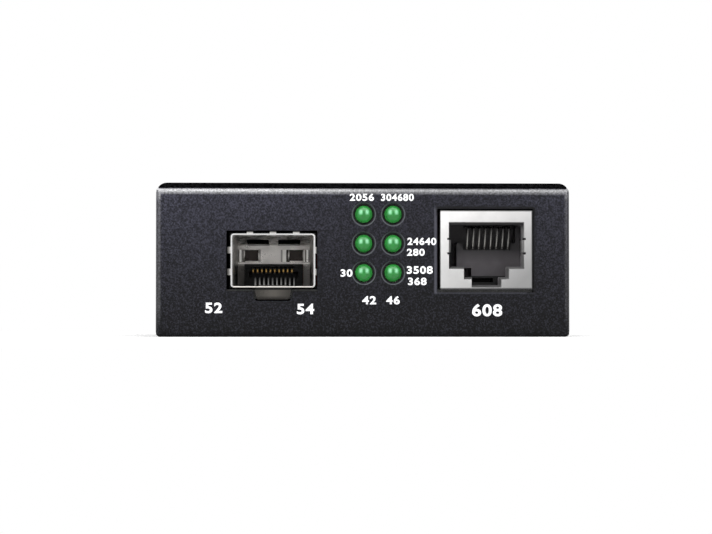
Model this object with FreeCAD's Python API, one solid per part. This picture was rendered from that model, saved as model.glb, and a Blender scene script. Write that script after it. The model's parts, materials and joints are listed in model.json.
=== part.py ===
"""Fibre media converter: a small folded-steel box with an SFP cage, an RJ45 jack and six
status lamps at the front, a power jack and a two-way switch at the rear.

Millimetres. +Z is up, the front panel faces -Y, X runs across the front. The origin is the
centre of the underside, which is the face the box rests on.
"""

import FreeCAD
import Part
import math
import os

os.makedirs("parts", exist_ok=True)

# ---- housing ---------------------------------------------------------------------------
width = 70.0
height = 26.0
depth = 97.0
base_sheet = 0.8
cover_sheet = 0.7
corner_top = 1.9
corner_bottom = 0.8
top_bend_inside = 0.6
edge_bend_inside = 0.2
panel_return = 3.0
flange_height = 8.0
flange_bend_inside = 0.4
cover_fit = 0.1
cover_joint = 0.15
cover_setback = 0.6
cover_hem = 0.35

# ---- ventilation slots in the cover's sides ----------------------------------------------
vent_count = 9
vent_pitch = 6.0
vent_wide = 2.2
vent_tall = 9.0
vent_low = 11.5
vent_corner = 0.65

# ---- cover screws: one in the middle of each side ----------------------------------------
cover_screw_z = 4.4
cover_screw_shank = 2.9
cover_screw_length = 5.0
cross_arm = 0.7
cross_across = 2.6
screw_recess = 0.6

# ---- board, its pillars and screws -------------------------------------------------------
board_half_width = 31.0
board_front_gap = 0.5
board_rear_gap = 1.2
board_thick = 1.6
board_corner = 1.0
pillar_height = 5.6
pillar_across = 5.0
pillar_stem = 4.2
pillar_floor = 0.4
pillar_x_left = -28.0
pillar_x_right = 28.0
pillar_behind_front = 10.5
pillar_behind_jack = 4.0
pillar_before_rear = 8.5
board_screw_shank = 2.5
board_screw_length = 5.4
board_screw_head = 4.9
board_screw_head_high = 1.7
board_screw_slot = 0.8
thread_clearance = 0.05
hole_clearance = 0.2
hidden_flats = 12

# ---- RJ45 jack ---------------------------------------------------------------------------
rj_x = 20.8
rj_wide = 15.65
rj_tall = 13.35
rj_long = 21.0
rj_stand = 0.5
rj_sheet = 0.25
rj_edge = 0.15
rj_gap_left = 0.48
rj_gap_right = 0.15
rj_gap_top = 0.27
rj_gap_bottom = 0.48
rj_mouth_wide = 12.8
rj_mouth_top = 1.95
rj_mouth_tall = 8.0
rj_step_wide = 7.7
rj_step_tall = 1.77
rj_key_wide = 5.1
rj_key_tall = 1.35
rj_lip_long = 0.9
rj_lip_in = 0.46
rj_lip_in_left = 0.15
rj_insert_play = 0.1
rj_cavity_long = 10.2
rj_flare = 0.8
rj_gallery_long = 3.5
rj_gallery_roof = 1.2
rj_comb_high = 4.8
rj_comb_notch = 1.15
rj_side_well = 2.0
rj_well_long = 4.0
rj_wire_count = 8
rj_wire_pitch = 1.02
rj_wire_thick = 0.4
rj_wire_shift = 1.03
rj_wire_start = 6.8
rj_wire_end_gap = 1.2
rj_wire_top_gap = 0.3
rj_wire_drop = 3.5
rj_peg = 3.0
rj_peg_spread = 11.43
rj_peg_back = 13.0
rj_finger_tall = 2.1
rj_finger_drop = 3.05
rj_finger_in = 0.38
rj_finger_long = 6.0
rj_finger_relief = 0.35
rj_foot_back = 9.0
rj_foot_wide = 1.6

# ---- SFP cage ----------------------------------------------------------------------------
sfp_x = -15.26
sfp_wide = 14.2
sfp_tall = 9.12
sfp_seat = 0.25
sfp_long = 47.6
sfp_stand = 0.8
sfp_sheet = 0.25
sfp_corner = 0.6
sfp_gap_left = 0.75
sfp_gap_right = 0.37
sfp_gap_top = 0.55
sfp_gap_bottom = 0.56
sfp_floor_play = 0.1
sfp_latch_wide = 6.2
sfp_latch_drop = 2.0
sfp_latch_gap = 0.2
sfp_latch_taper = 0.32
sfp_latch_lean = 0.35
sfp_pad_wide = 4.8
sfp_pad_long = 5.8
sfp_pad_high = 0.2
sfp_catch_back = 7.4
sfp_catch_long = 2.1
sfp_catch_wide = 2.4
sfp_lip_long = 0.9
sfp_window_inner = 2.95
sfp_window_outer = 5.5
sfp_window_sill = 0.65
sfp_window_head = 0.85
sfp_pocket_deep = 2.4
sfp_flap_long = 1.9
sfp_roof_slot_inner = 0.85
sfp_roof_slot_outer = 4.9
sfp_roof_slot_back = 20.5
sfp_roof_slot_long = 20.5
sfp_side_slot_back = 24.0
sfp_side_slot_long = 6.0
sfp_side_slot_up = 3.05
sfp_side_slot_tall = 1.3
sfp_collar_play = 0.03
sfp_collar_behind = 0.35
sfp_collar_long = 2.2
sfp_finger_wide = 1.1
sfp_finger_thick = 0.15
sfp_finger_bow = 0.42
sfp_roof_fingers = (-3.88, 0.0, 3.92)
sfp_side_fingers = (2.67, 6.35)

# ---- edge connector at the back of the cage ----------------------------------------------
sfp_connector_at = 38.0
sfp_connector_wide = 10.9
sfp_connector_tall = 5.05
sfp_connector_play = 0.15
sfp_connector_long = 8.4
sfp_connector_front = 0.7
sfp_slot_end_wall = 0.9
sfp_slot_up = 2.5
sfp_slot_tall = 1.1
sfp_slot_deep = 5.0
sfp_contact_count = 10
sfp_contact_pitch = 0.8
sfp_contact_wide = 0.26
sfp_contact_thick = 0.3
sfp_contact_play = 0.07
sfp_contact_offset = 0.2
sfp_contact_front = 0.35
sfp_upper_low = 3.25
sfp_upper_high = 4.35
sfp_lower_low = 1.05
sfp_lower_high = 2.65

# ---- status lamps ------------------------------------------------------------------------
lamp_columns = 2
lamp_rows = 3
lamp_left_x = 0.07
lamp_middle_drop = 0.9
lamp_pitch = 4.95
lamp_diameter = 3.0
lamp_stand = 0.75
lamp_long = 4.6
lamp_hole = 3.6
lamp_hole_edge = 0.3
lamp_holder_long = 3.5
lamp_holder_gap = 0.2
lamp_play = 0.08
lamp_lead_thick = 0.45
lamp_lead_spread = 2.54
lamp_lead_step = 1.8

# ---- power jack at the rear --------------------------------------------------------------
dc_x = 20.0
dc_wide = 9.0
dc_tall = 11.0
dc_long = 14.2
dc_axis_up = 6.5
dc_stand = 0.2
dc_nose = 7.8
dc_bore = 6.2
dc_bore_long = 9.6
dc_pin = 2.0
dc_pin_long = 8.6
dc_pin_root = 1.5
dc_panel_gap = 0.2
dc_spring_wide = 1.8
dc_spring_slot_wide = 2.2
dc_spring_up = 0.9
dc_spring_thick = 0.3
dc_spring_rise = 0.25

# ---- two-way switch at the rear ----------------------------------------------------------
switch_x = -6.0
switch_count = 2
switch_pitch = 2.54
switch_wide = 7.0
switch_tall = 9.4
switch_long = 6.6
switch_back = 0.1
switch_travel = 2.0
switch_wall = 1.0
knob_wide = 1.3
knob_tall = 1.9
knob_stand = 0.5
knob_play = 0.15
knob_foot = 0.4
knob_foot_side = 0.2
knob_foot_thick = 0.9
switch_panel_gap = 0.2
switch_pin = 0.5
switch_pin_below = 1.2
switch_pin_rows = (3.26, 5.8)

# ---- derived places ----------------------------------------------------------------------
front = -depth / 2
rear = depth / 2
half = width / 2
panel_top = height - cover_sheet
cover_screw_cone = cover_sheet + cover_fit
cover_screw_head = cover_screw_shank + 2 * cover_screw_cone
board_bottom = base_sheet + pillar_height
board_top = board_bottom + board_thick
board_front = front + base_sheet + board_front_gap
board_rear = rear - base_sheet - board_rear_gap
flange_outer = half - cover_sheet - cover_fit
rj_face = front - rj_stand
rj_bottom = board_top
rj_roof = rj_bottom + rj_tall - rj_mouth_top
rj_ledge = rj_roof - rj_mouth_tall
rj_cavity_end = rj_face + rj_cavity_long
sfp_face = front - sfp_stand
sfp_bottom = board_top + sfp_seat
sfp_top = sfp_bottom + sfp_tall
sfp_rear = sfp_face + sfp_long
sfp_connector_face = sfp_face + sfp_connector_at
lamp_top_z = (board_top + panel_top) / 2 - lamp_middle_drop + (lamp_rows - 1) / 2 * lamp_pitch
lamp_tip = front - lamp_stand
lamp_foot = lamp_tip + lamp_long
dc_face = rear + dc_stand
dc_inner_face = rear - base_sheet - dc_panel_gap
switch_face = rear - switch_back
behind_jack = rj_face + rj_long
pillar_places = [(pillar_x_left, front + pillar_behind_front),
                 (pillar_x_right, behind_jack + pillar_behind_jack),
                 (pillar_x_left, rear - pillar_before_rear),
                 (pillar_x_right, rear - pillar_before_rear)]

# ---- parts on the board: centres and sizes -----------------------------------------------
leg_pitch = 1.27
leg_wide = 0.4
leg_thick = 0.22
transformer_at = (16.0, behind_jack + 11.0)
transformer_wide = 7.1
transformer_long = 12.7
transformer_tall = 5.6
transformer_stand = 0.3
transformer_leg_reach = 1.8
transformer_leg_high = 2.2
transformer_legs = 8
main_chip_at = (7.0, front + 54.5)
main_chip_wide = 10.0
main_chip_tall = 0.9
memory_at = (-8.0, rear - 30.5)
memory_wide = 3.9
memory_long = 4.9
memory_tall = 1.4
memory_stand = 0.15
memory_leg_reach = 1.1
memory_leg_high = 0.9
memory_legs = 4
regulator_at = (3.0, rear - 18.5)
regulator_wide = 3.5
regulator_long = 6.5
regulator_tall = 1.6
regulator_stand = 0.05
regulator_leg_reach = 1.7
regulator_leg_high = 0.95
regulator_leg_pitch = 2.3
regulator_leg_wide = 0.7
regulator_legs = 3
chip_chamfer = 0.25
inductor_at = (-18.0, rear - 24.5)
inductor_wide = 7.3
inductor_tall = 4.5
inductor_corner = 1.1
inductor_well = 5.2
inductor_well_deep = 0.4
capacitor_places = [(13.0, rear - 21.5), (-19.0, rear - 12.5)]
capacitor_diameter = 6.3
capacitor_tall = 7.7
capacitor_base = 1.0
capacitor_base_past = 0.15
capacitor_round = 0.6
crystal_at = (21.5, front + 54.7)
crystal_long = 11.0
crystal_wide = 4.4
crystal_tall = 3.5
crystal_corner = 1.3
diode_at = (9.0, rear - 12.0)
diode_wide = 2.6
diode_long = 4.4
diode_tall = 2.2
fuse_at = (9.0, rear - 6.0)
fuse_wide = 3.2
fuse_long = 4.6
fuse_tall = 1.2
small_wide = 0.8
small_long = 1.6
small_capacitor_tall = 0.8
small_resistor_tall = 0.5


def vec(x, y, z):
    return FreeCAD.Vector(x, y, z)


def place(plane, a, b, level):
    """A point given by two coordinates in a plane and its level across it."""
    if plane == "xz":
        return vec(a, level, b)
    if plane == "yz":
        return vec(level, a, b)
    return vec(a, b, level)


def box(x0, x1, y0, y1, z0, z1):
    return Part.makeBox(x1 - x0, y1 - y0, z1 - z0, vec(x0, y0, z0))


def rod(axis, radius, centre, start, end):
    """A cylinder along one axis; centre holds the two coordinates across it."""
    a, b = centre
    if axis == "x":
        return Part.makeCylinder(radius, end - start, vec(start, a, b), vec(1, 0, 0))
    if axis == "y":
        return Part.makeCylinder(radius, end - start, vec(a, start, b), vec(0, 1, 0))
    return Part.makeCylinder(radius, end - start, vec(a, b, start), vec(0, 0, 1))


def polygon_prism(plane, points, start, end):
    corners = [place(plane, a, b, start) for a, b in points]
    face = Part.Face(Part.makePolygon(corners + [corners[0]]))
    return face.extrude(place(plane, 0, 0, end) - place(plane, 0, 0, start))


def rounded_prism(plane, a0, a1, b0, b1, start, end, radii):
    """A prism over a rectangle; radii go round from (a0, b0): low-low, high-low, high-high, low-high."""
    corners = [(a0, b0, 1, 1), (a1, b0, -1, 1), (a1, b1, -1, -1), (a0, b1, 1, -1)]
    edges = []
    last = None
    first = None
    for index, (a, b, to_a, to_b) in enumerate(corners):
        radius = radii[index]
        along_a = place(plane, a + to_a * radius, b, start)
        along_b = place(plane, a, b + to_b * radius, start)
        enter, leave = (along_b, along_a) if index % 2 == 0 else (along_a, along_b)
        if last is None:
            first = enter
        else:
            edges.append(Part.LineSegment(last, enter).toShape())
        if radius > 0:
            bulge = radius * (1 - math.sqrt(0.5))
            middle = place(plane, a + to_a * bulge, b + to_b * bulge, start)
            edges.append(Part.Arc(enter, middle, leave).toShape())
        last = leave
    edges.append(Part.LineSegment(last, first).toShape())
    face = Part.Face(Part.Wire(edges))
    return face.extrude(place(plane, 0, 0, end) - place(plane, 0, 0, start))


def chamfered_prism(plane, a0, a1, b0, b1, start, end, corner):
    """A prism over a rectangle whose four corners are cut off at 45 degrees."""
    points = [(a0 + corner, b0), (a1 - corner, b0), (a1, b0 + corner), (a1, b1 - corner),
              (a1 - corner, b1), (a0 + corner, b1), (a0, b1 - corner), (a0, b0 + corner)]
    return polygon_prism(plane, points, start, end)


def flats(axis, radius, centre, start, end, sides=hidden_flats, hole=False):
    """A small hidden pin or hole with flats: a pin's corners lie on its circle, a hole's flats do."""
    plane = {"x": "yz", "y": "xz", "z": "xy"}[axis]
    a, b = centre
    reach = radius / math.cos(math.pi / sides) if hole else radius
    turns = [2 * math.pi * (step + 0.5) / sides for step in range(sides)]
    corners = [(a + reach * math.cos(turn), b + reach * math.sin(turn)) for turn in turns]
    return polygon_prism(plane, corners, start, end)


def fuse(shapes):
    joined = shapes[0].multiFuse(shapes[1:]) if len(shapes) > 1 else shapes[0]
    return joined.removeSplitter()


def cut(shape, tools):
    return shape.cut(Part.makeCompound(tools)).removeSplitter()


def solids(shape):
    """One solid where the shape is one piece, else the group of its solids."""
    found = shape.Solids
    return found[0] if len(found) == 1 else Part.makeCompound(found)


def save(name, shape):
    solids(shape).exportStep("parts/" + name + ".step")


def mirrored_front_to_rear(shape):
    return shape.mirror(vec(0, 0, 0), vec(0, 1, 0))


def mirrored_left_to_right(shape):
    return shape.mirror(vec(0, 0, 0), vec(1, 0, 0))


# ---- housing -----------------------------------------------------------------------------
def panel_pan():
    """The front panel with its turned-back edges, as a shallow pan open to the rear."""
    end = front + panel_return
    top_bend = top_bend_inside + base_sheet
    edge_bend = edge_bend_inside + base_sheet
    outer = rounded_prism("yz", front, end, 0, panel_top, -half, half, [edge_bend, 0, 0, top_bend])
    outer = outer.common(rounded_prism("xy", -half, half, front, end, 0, height,
                                       [edge_bend, edge_bend, 0, 0]))
    outline_radii = [corner_bottom, corner_bottom, corner_top, corner_top]
    outer = outer.common(rounded_prism("xz", -half, half, 0, height, front, end, outline_radii))
    skin = base_sheet
    inner_corner = corner_top - skin
    past = end + 1.0
    inner = rounded_prism("yz", front + skin, past, skin, panel_top - skin, -half, half,
                          [edge_bend_inside, 0, 0, top_bend_inside])
    inner = inner.common(rounded_prism("xy", skin - half, half - skin, front + skin, past, 0, height,
                                       [edge_bend_inside, edge_bend_inside, 0, 0]))
    inner = inner.common(rounded_prism("xz", skin - half, half - skin, skin, height - skin, front, past,
                                       [0, 0, inner_corner, inner_corner]))
    return outer.cut(inner)


def floor_channel():
    """Floor with its two low side flanges, folded up between the panels."""
    start = front + panel_return + cover_joint
    bend = flange_bend_inside + base_sheet
    outer = rounded_prism("xz", -flange_outer, flange_outer, 0, flange_height, start, -start,
                          [bend, bend, 0, 0])
    inner = rounded_prism("xz", base_sheet - flange_outer, flange_outer - base_sheet, base_sheet,
                          flange_height + 1.0, start - 1.0, 1.0 - start,
                          [flange_bend_inside, flange_bend_inside, 0, 0])
    bridge = box(base_sheet + bend - half, half - base_sheet - bend, front + base_sheet, rear - base_sheet,
                 0, base_sheet)
    return [outer.cut(inner), bridge]


def cover_screw_cone_shape(grow):
    """The countersink cone of the right-hand cover screw, grown by a clearance."""
    return Part.makeCone(cover_screw_head / 2 + grow, cover_screw_shank / 2 + grow, cover_screw_cone,
                         vec(half, 0, cover_screw_z), vec(-1, 0, 0))


def sfp_cut_out():
    """The cage's window in the front panel, with the notch for the latch tongue below it."""
    x0 = sfp_x - sfp_wide / 2 - sfp_gap_left
    x1 = sfp_x + sfp_wide / 2 + sfp_gap_right
    z0 = sfp_bottom - sfp_gap_bottom
    z1 = sfp_top + sfp_gap_top
    window = box(x0, x1, front - 1.0, front + panel_return, z0, z1)
    reach = sfp_latch_wide / 2 + sfp_latch_gap
    notch_low = sfp_bottom - sfp_latch_drop - sfp_latch_gap
    notch = chamfered_prism("xz", sfp_x - reach, sfp_x + reach, notch_low, z1, front - 1.0,
                            front + panel_return, sfp_latch_taper + sfp_latch_gap)
    return [window, notch]


def rj_cut_out():
    return box(rj_x - rj_wide / 2 - rj_gap_left, rj_x + rj_wide / 2 + rj_gap_right, front - 1.0,
               front + panel_return, rj_bottom - rj_gap_bottom, rj_bottom + rj_tall + rj_gap_top)


def lamp_places():
    """Centres of the lamps, down each column from the left one."""
    return [(lamp_left_x + column * lamp_pitch, lamp_top_z - row * lamp_pitch)
            for column in range(lamp_columns) for row in range(lamp_rows)]


def lamp_hole_tools(x, z):
    """One lamp's hole, its front edge broken to a bevel."""
    narrow = lamp_hole / 2
    bevel = Part.makeCone(narrow + lamp_hole_edge, narrow, lamp_hole_edge, vec(x, front, z), vec(0, 1, 0))
    return [rod("y", narrow, (x, z), front - 1.0, front + panel_return), bevel]


def base_chassis():
    body = fuse([panel_pan(), mirrored_front_to_rear(panel_pan())] + floor_channel())
    tools = sfp_cut_out() + [rj_cut_out()]
    for x, z in lamp_places():
        tools += lamp_hole_tools(x, z)
    tools.append(rod("y", dc_nose / 2 + dc_panel_gap, (dc_x, board_top + dc_axis_up), rear - panel_return,
                     rear + 1.0))
    reach = switch_wide / 2 + switch_panel_gap
    tools.append(box(switch_x - reach, switch_x + reach, rear - panel_return, rear + 1.0,
                     board_top - switch_panel_gap, board_top + switch_tall + switch_panel_gap))
    tools.append(flats("x", cover_screw_shank / 2 + thread_clearance, (0, cover_screw_z), -half, half,
                       hole=True))
    stem = pillar_stem / 2 + thread_clearance
    for place_of_pillar in pillar_places:
        tools.append(flats("z", stem, place_of_pillar, -1.0, base_sheet + 1.0, 6))
    return cut(body, tools)


def top_cover():
    """Top and both sides in one folded sheet; tongues of the top lie over the two panels' top edges."""
    start = front + panel_return + cover_joint
    inner_corner = corner_top - cover_sheet
    outer = rounded_prism("xz", -half, half, cover_hem, height, start, -start, [0, 0, corner_top, corner_top])
    inner = rounded_prism("xz", cover_sheet - half, half - cover_sheet, cover_hem - 1.0, panel_top,
                          start - 1.0, 1.0 - start, [0, 0, inner_corner, inner_corner])
    edge = front + cover_setback
    tongues = rounded_prism("xz", -half, half, 0, height, edge, -edge, [0, 0, corner_top, corner_top])
    tongues = tongues.common(box(-half, half, edge, -edge, panel_top, height))
    body = fuse([outer.cut(inner), tongues])
    tools = []
    for step in range(vent_count):
        y = (step - (vent_count - 1) / 2) * vent_pitch
        tools.append(chamfered_prism("yz", y - vent_wide / 2, y + vent_wide / 2, vent_low,
                                     vent_low + vent_tall, -half - 1.0, half + 1.0, vent_corner))
    hole = cover_screw_cone_shape(thread_clearance)
    return cut(body, tools + [hole, mirrored_left_to_right(hole)])


def cross_recess():
    """The driver's cross, sunk into the right-hand cover screw's head."""
    long, short = cross_across / 2, cross_arm / 2
    low = half - screw_recess
    return [box(low, half, -long, long, cover_screw_z - short, cover_screw_z + short),
            box(low, half, -short, short, cover_screw_z - long, cover_screw_z + long)]


def cover_screws():
    shank = flats("x", cover_screw_shank / 2, (0, cover_screw_z), half - cover_screw_length,
                  half - cover_screw_cone)
    screw = cut(fuse([cover_screw_cone_shape(0), shank]), cross_recess())
    return Part.makeCompound([screw, mirrored_left_to_right(screw)])


# ---- board and what holds it -------------------------------------------------------------
def board_standoffs():
    """Hexagonal pillars pressed into the floor, each threaded for a board screw."""
    group = []
    for x, y in pillar_places:
        pillar = flats("z", pillar_across / 2, (x, y), base_sheet, board_bottom, 6, hole=True)
        stem = flats("z", pillar_stem / 2, (x, y), 0, base_sheet, 6)
        bore = flats("z", board_screw_shank / 2 + thread_clearance, (x, y), base_sheet + pillar_floor,
                     board_bottom, hole=True)
        group.append(cut(fuse([pillar, stem]), [bore]))
    return Part.makeCompound(group)


def board_screws():
    group = []
    for x, y in pillar_places:
        top = board_top + board_screw_head_high
        shank = flats("z", board_screw_shank / 2, (x, y), board_top - board_screw_length, board_top)
        head = flats("z", board_screw_head / 2, (x, y), board_top, top)
        slot = box(x - board_screw_head / 2, x + board_screw_head / 2, y - board_screw_slot / 2,
                   y + board_screw_slot / 2, top - screw_recess, top)
        group.append(cut(fuse([shank, head]), [slot]))
    return Part.makeCompound(group)


def circuit_board():
    body = chamfered_prism("xy", -board_half_width, board_half_width, board_front, board_rear, board_bottom,
                           board_top, board_corner)
    low, high = board_bottom - 1.0, board_top + 1.0
    tools = []
    for place_of_pillar in pillar_places:
        tools.append(flats("z", board_screw_shank / 2 + hole_clearance, place_of_pillar, low, high,
                           hole=True))
    reach = sfp_latch_wide / 2 + 2 * sfp_latch_gap
    tongue_end = sfp_face + sfp_latch_lean + sfp_latch_drop + 2 * sfp_latch_gap
    tools.append(box(sfp_x - reach, sfp_x + reach, board_front - 1.0, tongue_end, low, high))
    for place_of_peg in rj_peg_places():
        tools.append(flats("z", rj_peg / 2 + hole_clearance / 2, place_of_peg, low, high, hole=True))
    for x, y in switch_pin_places():
        reach = switch_pin / 2 + hole_clearance
        tools.append(box(x - reach, x + reach, y - reach, y + reach, low, high))
    return cut(body, tools)


# ---- RJ45 jack ---------------------------------------------------------------------------
def rj_peg_places():
    return [(rj_x + side * rj_peg_spread / 2, rj_face + rj_peg_back) for side in (-1, 1)]


def rj_mouth(left, right, upright):
    """Corners of the stepped plug opening; its left sides, right sides and level sides are moved outwards."""
    step_low = rj_ledge - rj_step_tall - upright
    key_low = rj_ledge - rj_step_tall - rj_key_tall - upright
    half_widths = [rj_mouth_wide / 2, rj_mouth_wide / 2, rj_step_wide / 2, rj_step_wide / 2,
                   rj_key_wide / 2, rj_key_wide / 2]
    levels = [rj_roof + upright, rj_ledge - upright, rj_ledge - upright, step_low, step_low, key_low]
    down = [(rj_x + reach + right, z) for reach, z in zip(half_widths, levels)]
    up = [(rj_x - reach - left, z) for reach, z in zip(half_widths, levels)]
    return down + up[::-1]


def rj_loft(first, second, y0, y1):
    """A ruled solid between two outlines of the plug opening."""
    wires = []
    for outline, y in ((first, y0), (second, y1)):
        corners = [vec(x, y, z) for x, z in outline]
        wires.append(Part.makePolygon(corners + [corners[0]]))
    return Part.makeLoft(wires, True, True)


def rj_funnel(grow, y0, y1):
    """The mouth's lead-in, narrowing from y0 to y1; the left side hardly narrows."""
    narrow = grow - rj_lip_in
    return rj_loft(rj_mouth(grow, grow, grow), rj_mouth(grow - rj_lip_in_left, narrow, narrow), y0, y1)


def rj_finger(side):
    """One side spring of the shield: it bows into the mouth and runs back to the side wall."""
    z_top = rj_roof - rj_finger_drop
    thick = 0.8 * rj_sheet
    near = rj_x + side * (rj_mouth_wide / 2 - rj_finger_in)
    far = rj_x + side * (rj_mouth_wide / 2 + thick / 2)
    wall = rj_x + side * (rj_wide / 2 - rj_sheet)
    back = rj_face + rj_finger_long
    return polygon_prism("xy", [(far, rj_face + 0.2 * thick), (near, rj_face + 2 * rj_sheet),
                                (near, rj_face + rj_finger_long / 2), (wall, back), (wall, back - 3 * thick),
                                (near + side * thick, rj_face + rj_finger_long / 2 - thick / 2),
                                (near + side * thick, rj_face + 3 * thick), (far, rj_face + 1.5 * thick)],
                         z_top - rj_finger_tall, z_top)


def rj45_shield():
    """The plated sheet round the jack: face with the stepped mouth, turned-in lips and side springs."""
    x0 = rj_x - rj_wide / 2
    x1 = rj_x + rj_wide / 2
    z1 = rj_bottom + rj_tall
    outer = box(x0, x1, rj_face, rj_face + rj_long, rj_bottom, z1)
    face_edges = [e for e in outer.Edges
                  if e.BoundBox.YMax < rj_face + rj_edge and e.BoundBox.ZMax > rj_bottom + rj_edge]
    outer = outer.makeChamfer(rj_edge, face_edges)
    inner = box(x0 + rj_sheet, x1 - rj_sheet, rj_face + rj_sheet, rj_face + rj_long - rj_sheet,
                rj_bottom - 1.0, z1 - rj_sheet)
    lip_end = rj_face + rj_lip_long
    lips = rj_funnel(rj_sheet, rj_face + 0.01, lip_end).cut(box(x0, x1, rj_face, lip_end, 0, rj_bottom))
    fingers = [rj_finger(side) for side in (-1, 1)]
    foot = rj_face + rj_foot_back
    feet = [box(x, x + rj_sheet, foot, foot + rj_foot_wide, board_top, board_top + rj_foot_wide)
            for x in (x0, x1 - rj_sheet)]
    body = fuse([outer.cut(inner), lips] + fingers + feet)
    tools = [rj_funnel(0, rj_face - 0.001, lip_end + 0.001)]
    z_top = rj_roof - rj_finger_drop
    for side in (-1, 1):
        x = rj_x + side * rj_mouth_wide / 2
        for z0 in (z_top, z_top - rj_finger_tall - rj_finger_relief):
            tools.append(box(x - rj_sheet, x + rj_sheet, rj_face - 0.1, lip_end, z0, z0 + rj_finger_relief))
    return fuse([cut(body, tools)] + fingers)


def rj45_insert():
    """Moulded block inside the shield, hollowed for the plug, with a notched wall behind the wires."""
    play = rj_insert_play
    x0 = rj_x - rj_wide / 2 + rj_sheet + play
    x1 = rj_x + rj_wide / 2 - rj_sheet - play
    z1 = rj_bottom + rj_tall - rj_sheet - play
    start = rj_face + rj_lip_long + play
    body = box(x0, x1, start, rj_face + rj_long - rj_sheet - play, rj_bottom, z1)
    left, right = rj_lip_in_left, rj_lip_in
    end = rj_cavity_end
    narrow = rj_mouth(-left, -right, -right)
    cavity = rj_loft(narrow, rj_mouth(-left, rj_flare - right, -right), start, end)
    comb_top = rj_ledge + rj_comb_high
    well_left = rj_x - rj_mouth_wide / 2 + left
    gallery = box(well_left, rj_x + rj_mouth_wide / 2 - right, start, end + rj_gallery_long, comb_top,
                  z1 - rj_gallery_roof)
    half_comb = rj_wire_count * rj_wire_pitch / 2
    comb_x = rj_x + rj_wire_shift
    notch = box(comb_x - half_comb, comb_x + half_comb, end, end + rj_gallery_long, comb_top - rj_comb_notch,
                comb_top)
    well = box(well_left, well_left + rj_side_well, end, end + rj_well_long, rj_ledge + right, comb_top)
    step_left = rj_x - rj_step_wide / 2 + left
    step_well = box(step_left, step_left + rj_side_well, end, end + rj_well_long,
                    rj_ledge - rj_step_tall + right, rj_ledge + right)
    key_reach = rj_key_wide / 2 - right
    key_low = rj_ledge - rj_step_tall - rj_key_tall + right
    key_well = box(rj_x - key_reach, rj_x + key_reach, end, end + rj_well_long, key_low + rj_key_tall / 2,
                   rj_ledge - rj_step_tall + right)
    tools = [cavity, gallery, notch, well, step_well, key_well]
    z_middle = rj_roof - rj_finger_drop - rj_finger_tall / 2
    room = rj_finger_tall / 2 + rj_finger_relief + play
    room_in = (rj_wide - rj_mouth_wide) / 2 + rj_finger_in
    for x in (x0, x1):
        tools.append(box(x - room_in, x + room_in, start, rj_face + rj_finger_long + 2 * play,
                         z_middle - room, z_middle + room))
    pegs = [flats("z", rj_peg / 2, centre, board_bottom + play, rj_bottom) for centre in rj_peg_places()]
    return fuse([cut(body, tools)] + pegs)


def rj45_contacts():
    """Eight sprung wires slanting down and back from under the roof of the plug space to blunt tips."""
    group = []
    roof = rj_roof - rj_lip_in
    top = roof - rj_wire_top_gap
    low = roof - rj_wire_drop
    y0 = rj_face + rj_wire_start
    y1 = rj_cavity_end - rj_wire_end_gap
    root = rj_cavity_end + rj_gallery_long
    thick = rj_wire_thick
    for step in range(rj_wire_count):
        x = rj_x + rj_wire_shift + (step - (rj_wire_count - 1) / 2) * rj_wire_pitch
        profile = [(root, roof + thick), (y0 + thick, roof), (y0, roof - thick / 2), (y0, top - thick / 2),
                   (y1, low), (y1, low - thick), (y1 + thick, low - thick),
                   (y1 + thick, low + thick / 2), (y0 + 2 * thick, top), (root, roof)]
        group.append(polygon_prism("yz", profile, x - thick / 2, x + thick / 2))
    return Part.makeCompound(group)


# ---- SFP cage ----------------------------------------------------------------------------
def sfp_cage_shell():
    """Roof, sides and rear wall of the cage in one folded sheet, its rear windows drawn back as pockets."""
    t = sfp_sheet
    x0 = sfp_x - sfp_wide / 2
    x1 = sfp_x + sfp_wide / 2
    end = sfp_rear
    outer = rounded_prism("xz", x0, x1, sfp_bottom, sfp_top, sfp_face, end, [sfp_corner] * 4)
    inner = rounded_prism("xz", x0 + t, x1 - t, sfp_bottom + t, sfp_top - t, sfp_face - 1, end - t,
                          [sfp_corner - t] * 4)
    floor_room = box(x0 + t + sfp_floor_play / 2, x1 - t - sfp_floor_play / 2, sfp_face - 1, end + 1,
                     sfp_bottom - 1, sfp_bottom + t + sfp_floor_play / 3)
    wall_low = sfp_bottom + sfp_connector_tall + t
    reach = sfp_connector_wide / 2 + sfp_connector_play
    under_wall = box(sfp_x - reach, sfp_x + reach, end - 2 * t, end + 1, sfp_bottom - 1, wall_low)
    tools = [floor_room, under_wall]
    window_low = wall_low + sfp_window_sill
    window_high = sfp_top - t - sfp_window_head
    added = [box(x0 + t, x1 - t, end - t - sfp_lip_long, end - t, wall_low, wall_low + t)]
    for side in (-1, 1):
        a, b = sorted((sfp_x + side * sfp_window_inner, sfp_x + side * sfp_window_outer))
        pocket_end = end + sfp_pocket_deep
        added.append(box(a - t, b + t, end - t, pocket_end, window_low - t, window_high + t))
        tools.append(box(a, b, end - 2 * t, pocket_end - t, window_low, window_high))
        for x in (a - t, b):
            added.append(box(x, x + t, end - t - sfp_flap_long, end - t, window_low, window_high))
        a, b = sorted((sfp_x + side * sfp_roof_slot_inner, sfp_x + side * sfp_roof_slot_outer))
        slot = sfp_face + sfp_roof_slot_back
        tools.append(box(a, b, slot, slot + sfp_roof_slot_long, sfp_top - 1, sfp_top + 1))
        side_x = sfp_x + side * sfp_wide / 2
        slot = sfp_face + sfp_side_slot_back
        slot_low = sfp_bottom + sfp_side_slot_up
        tools.append(box(side_x - 1, side_x + 1, slot, slot + sfp_side_slot_long, slot_low,
                         slot_low + sfp_side_slot_tall))
    return cut(fuse([outer.cut(inner)] + added), tools)


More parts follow.
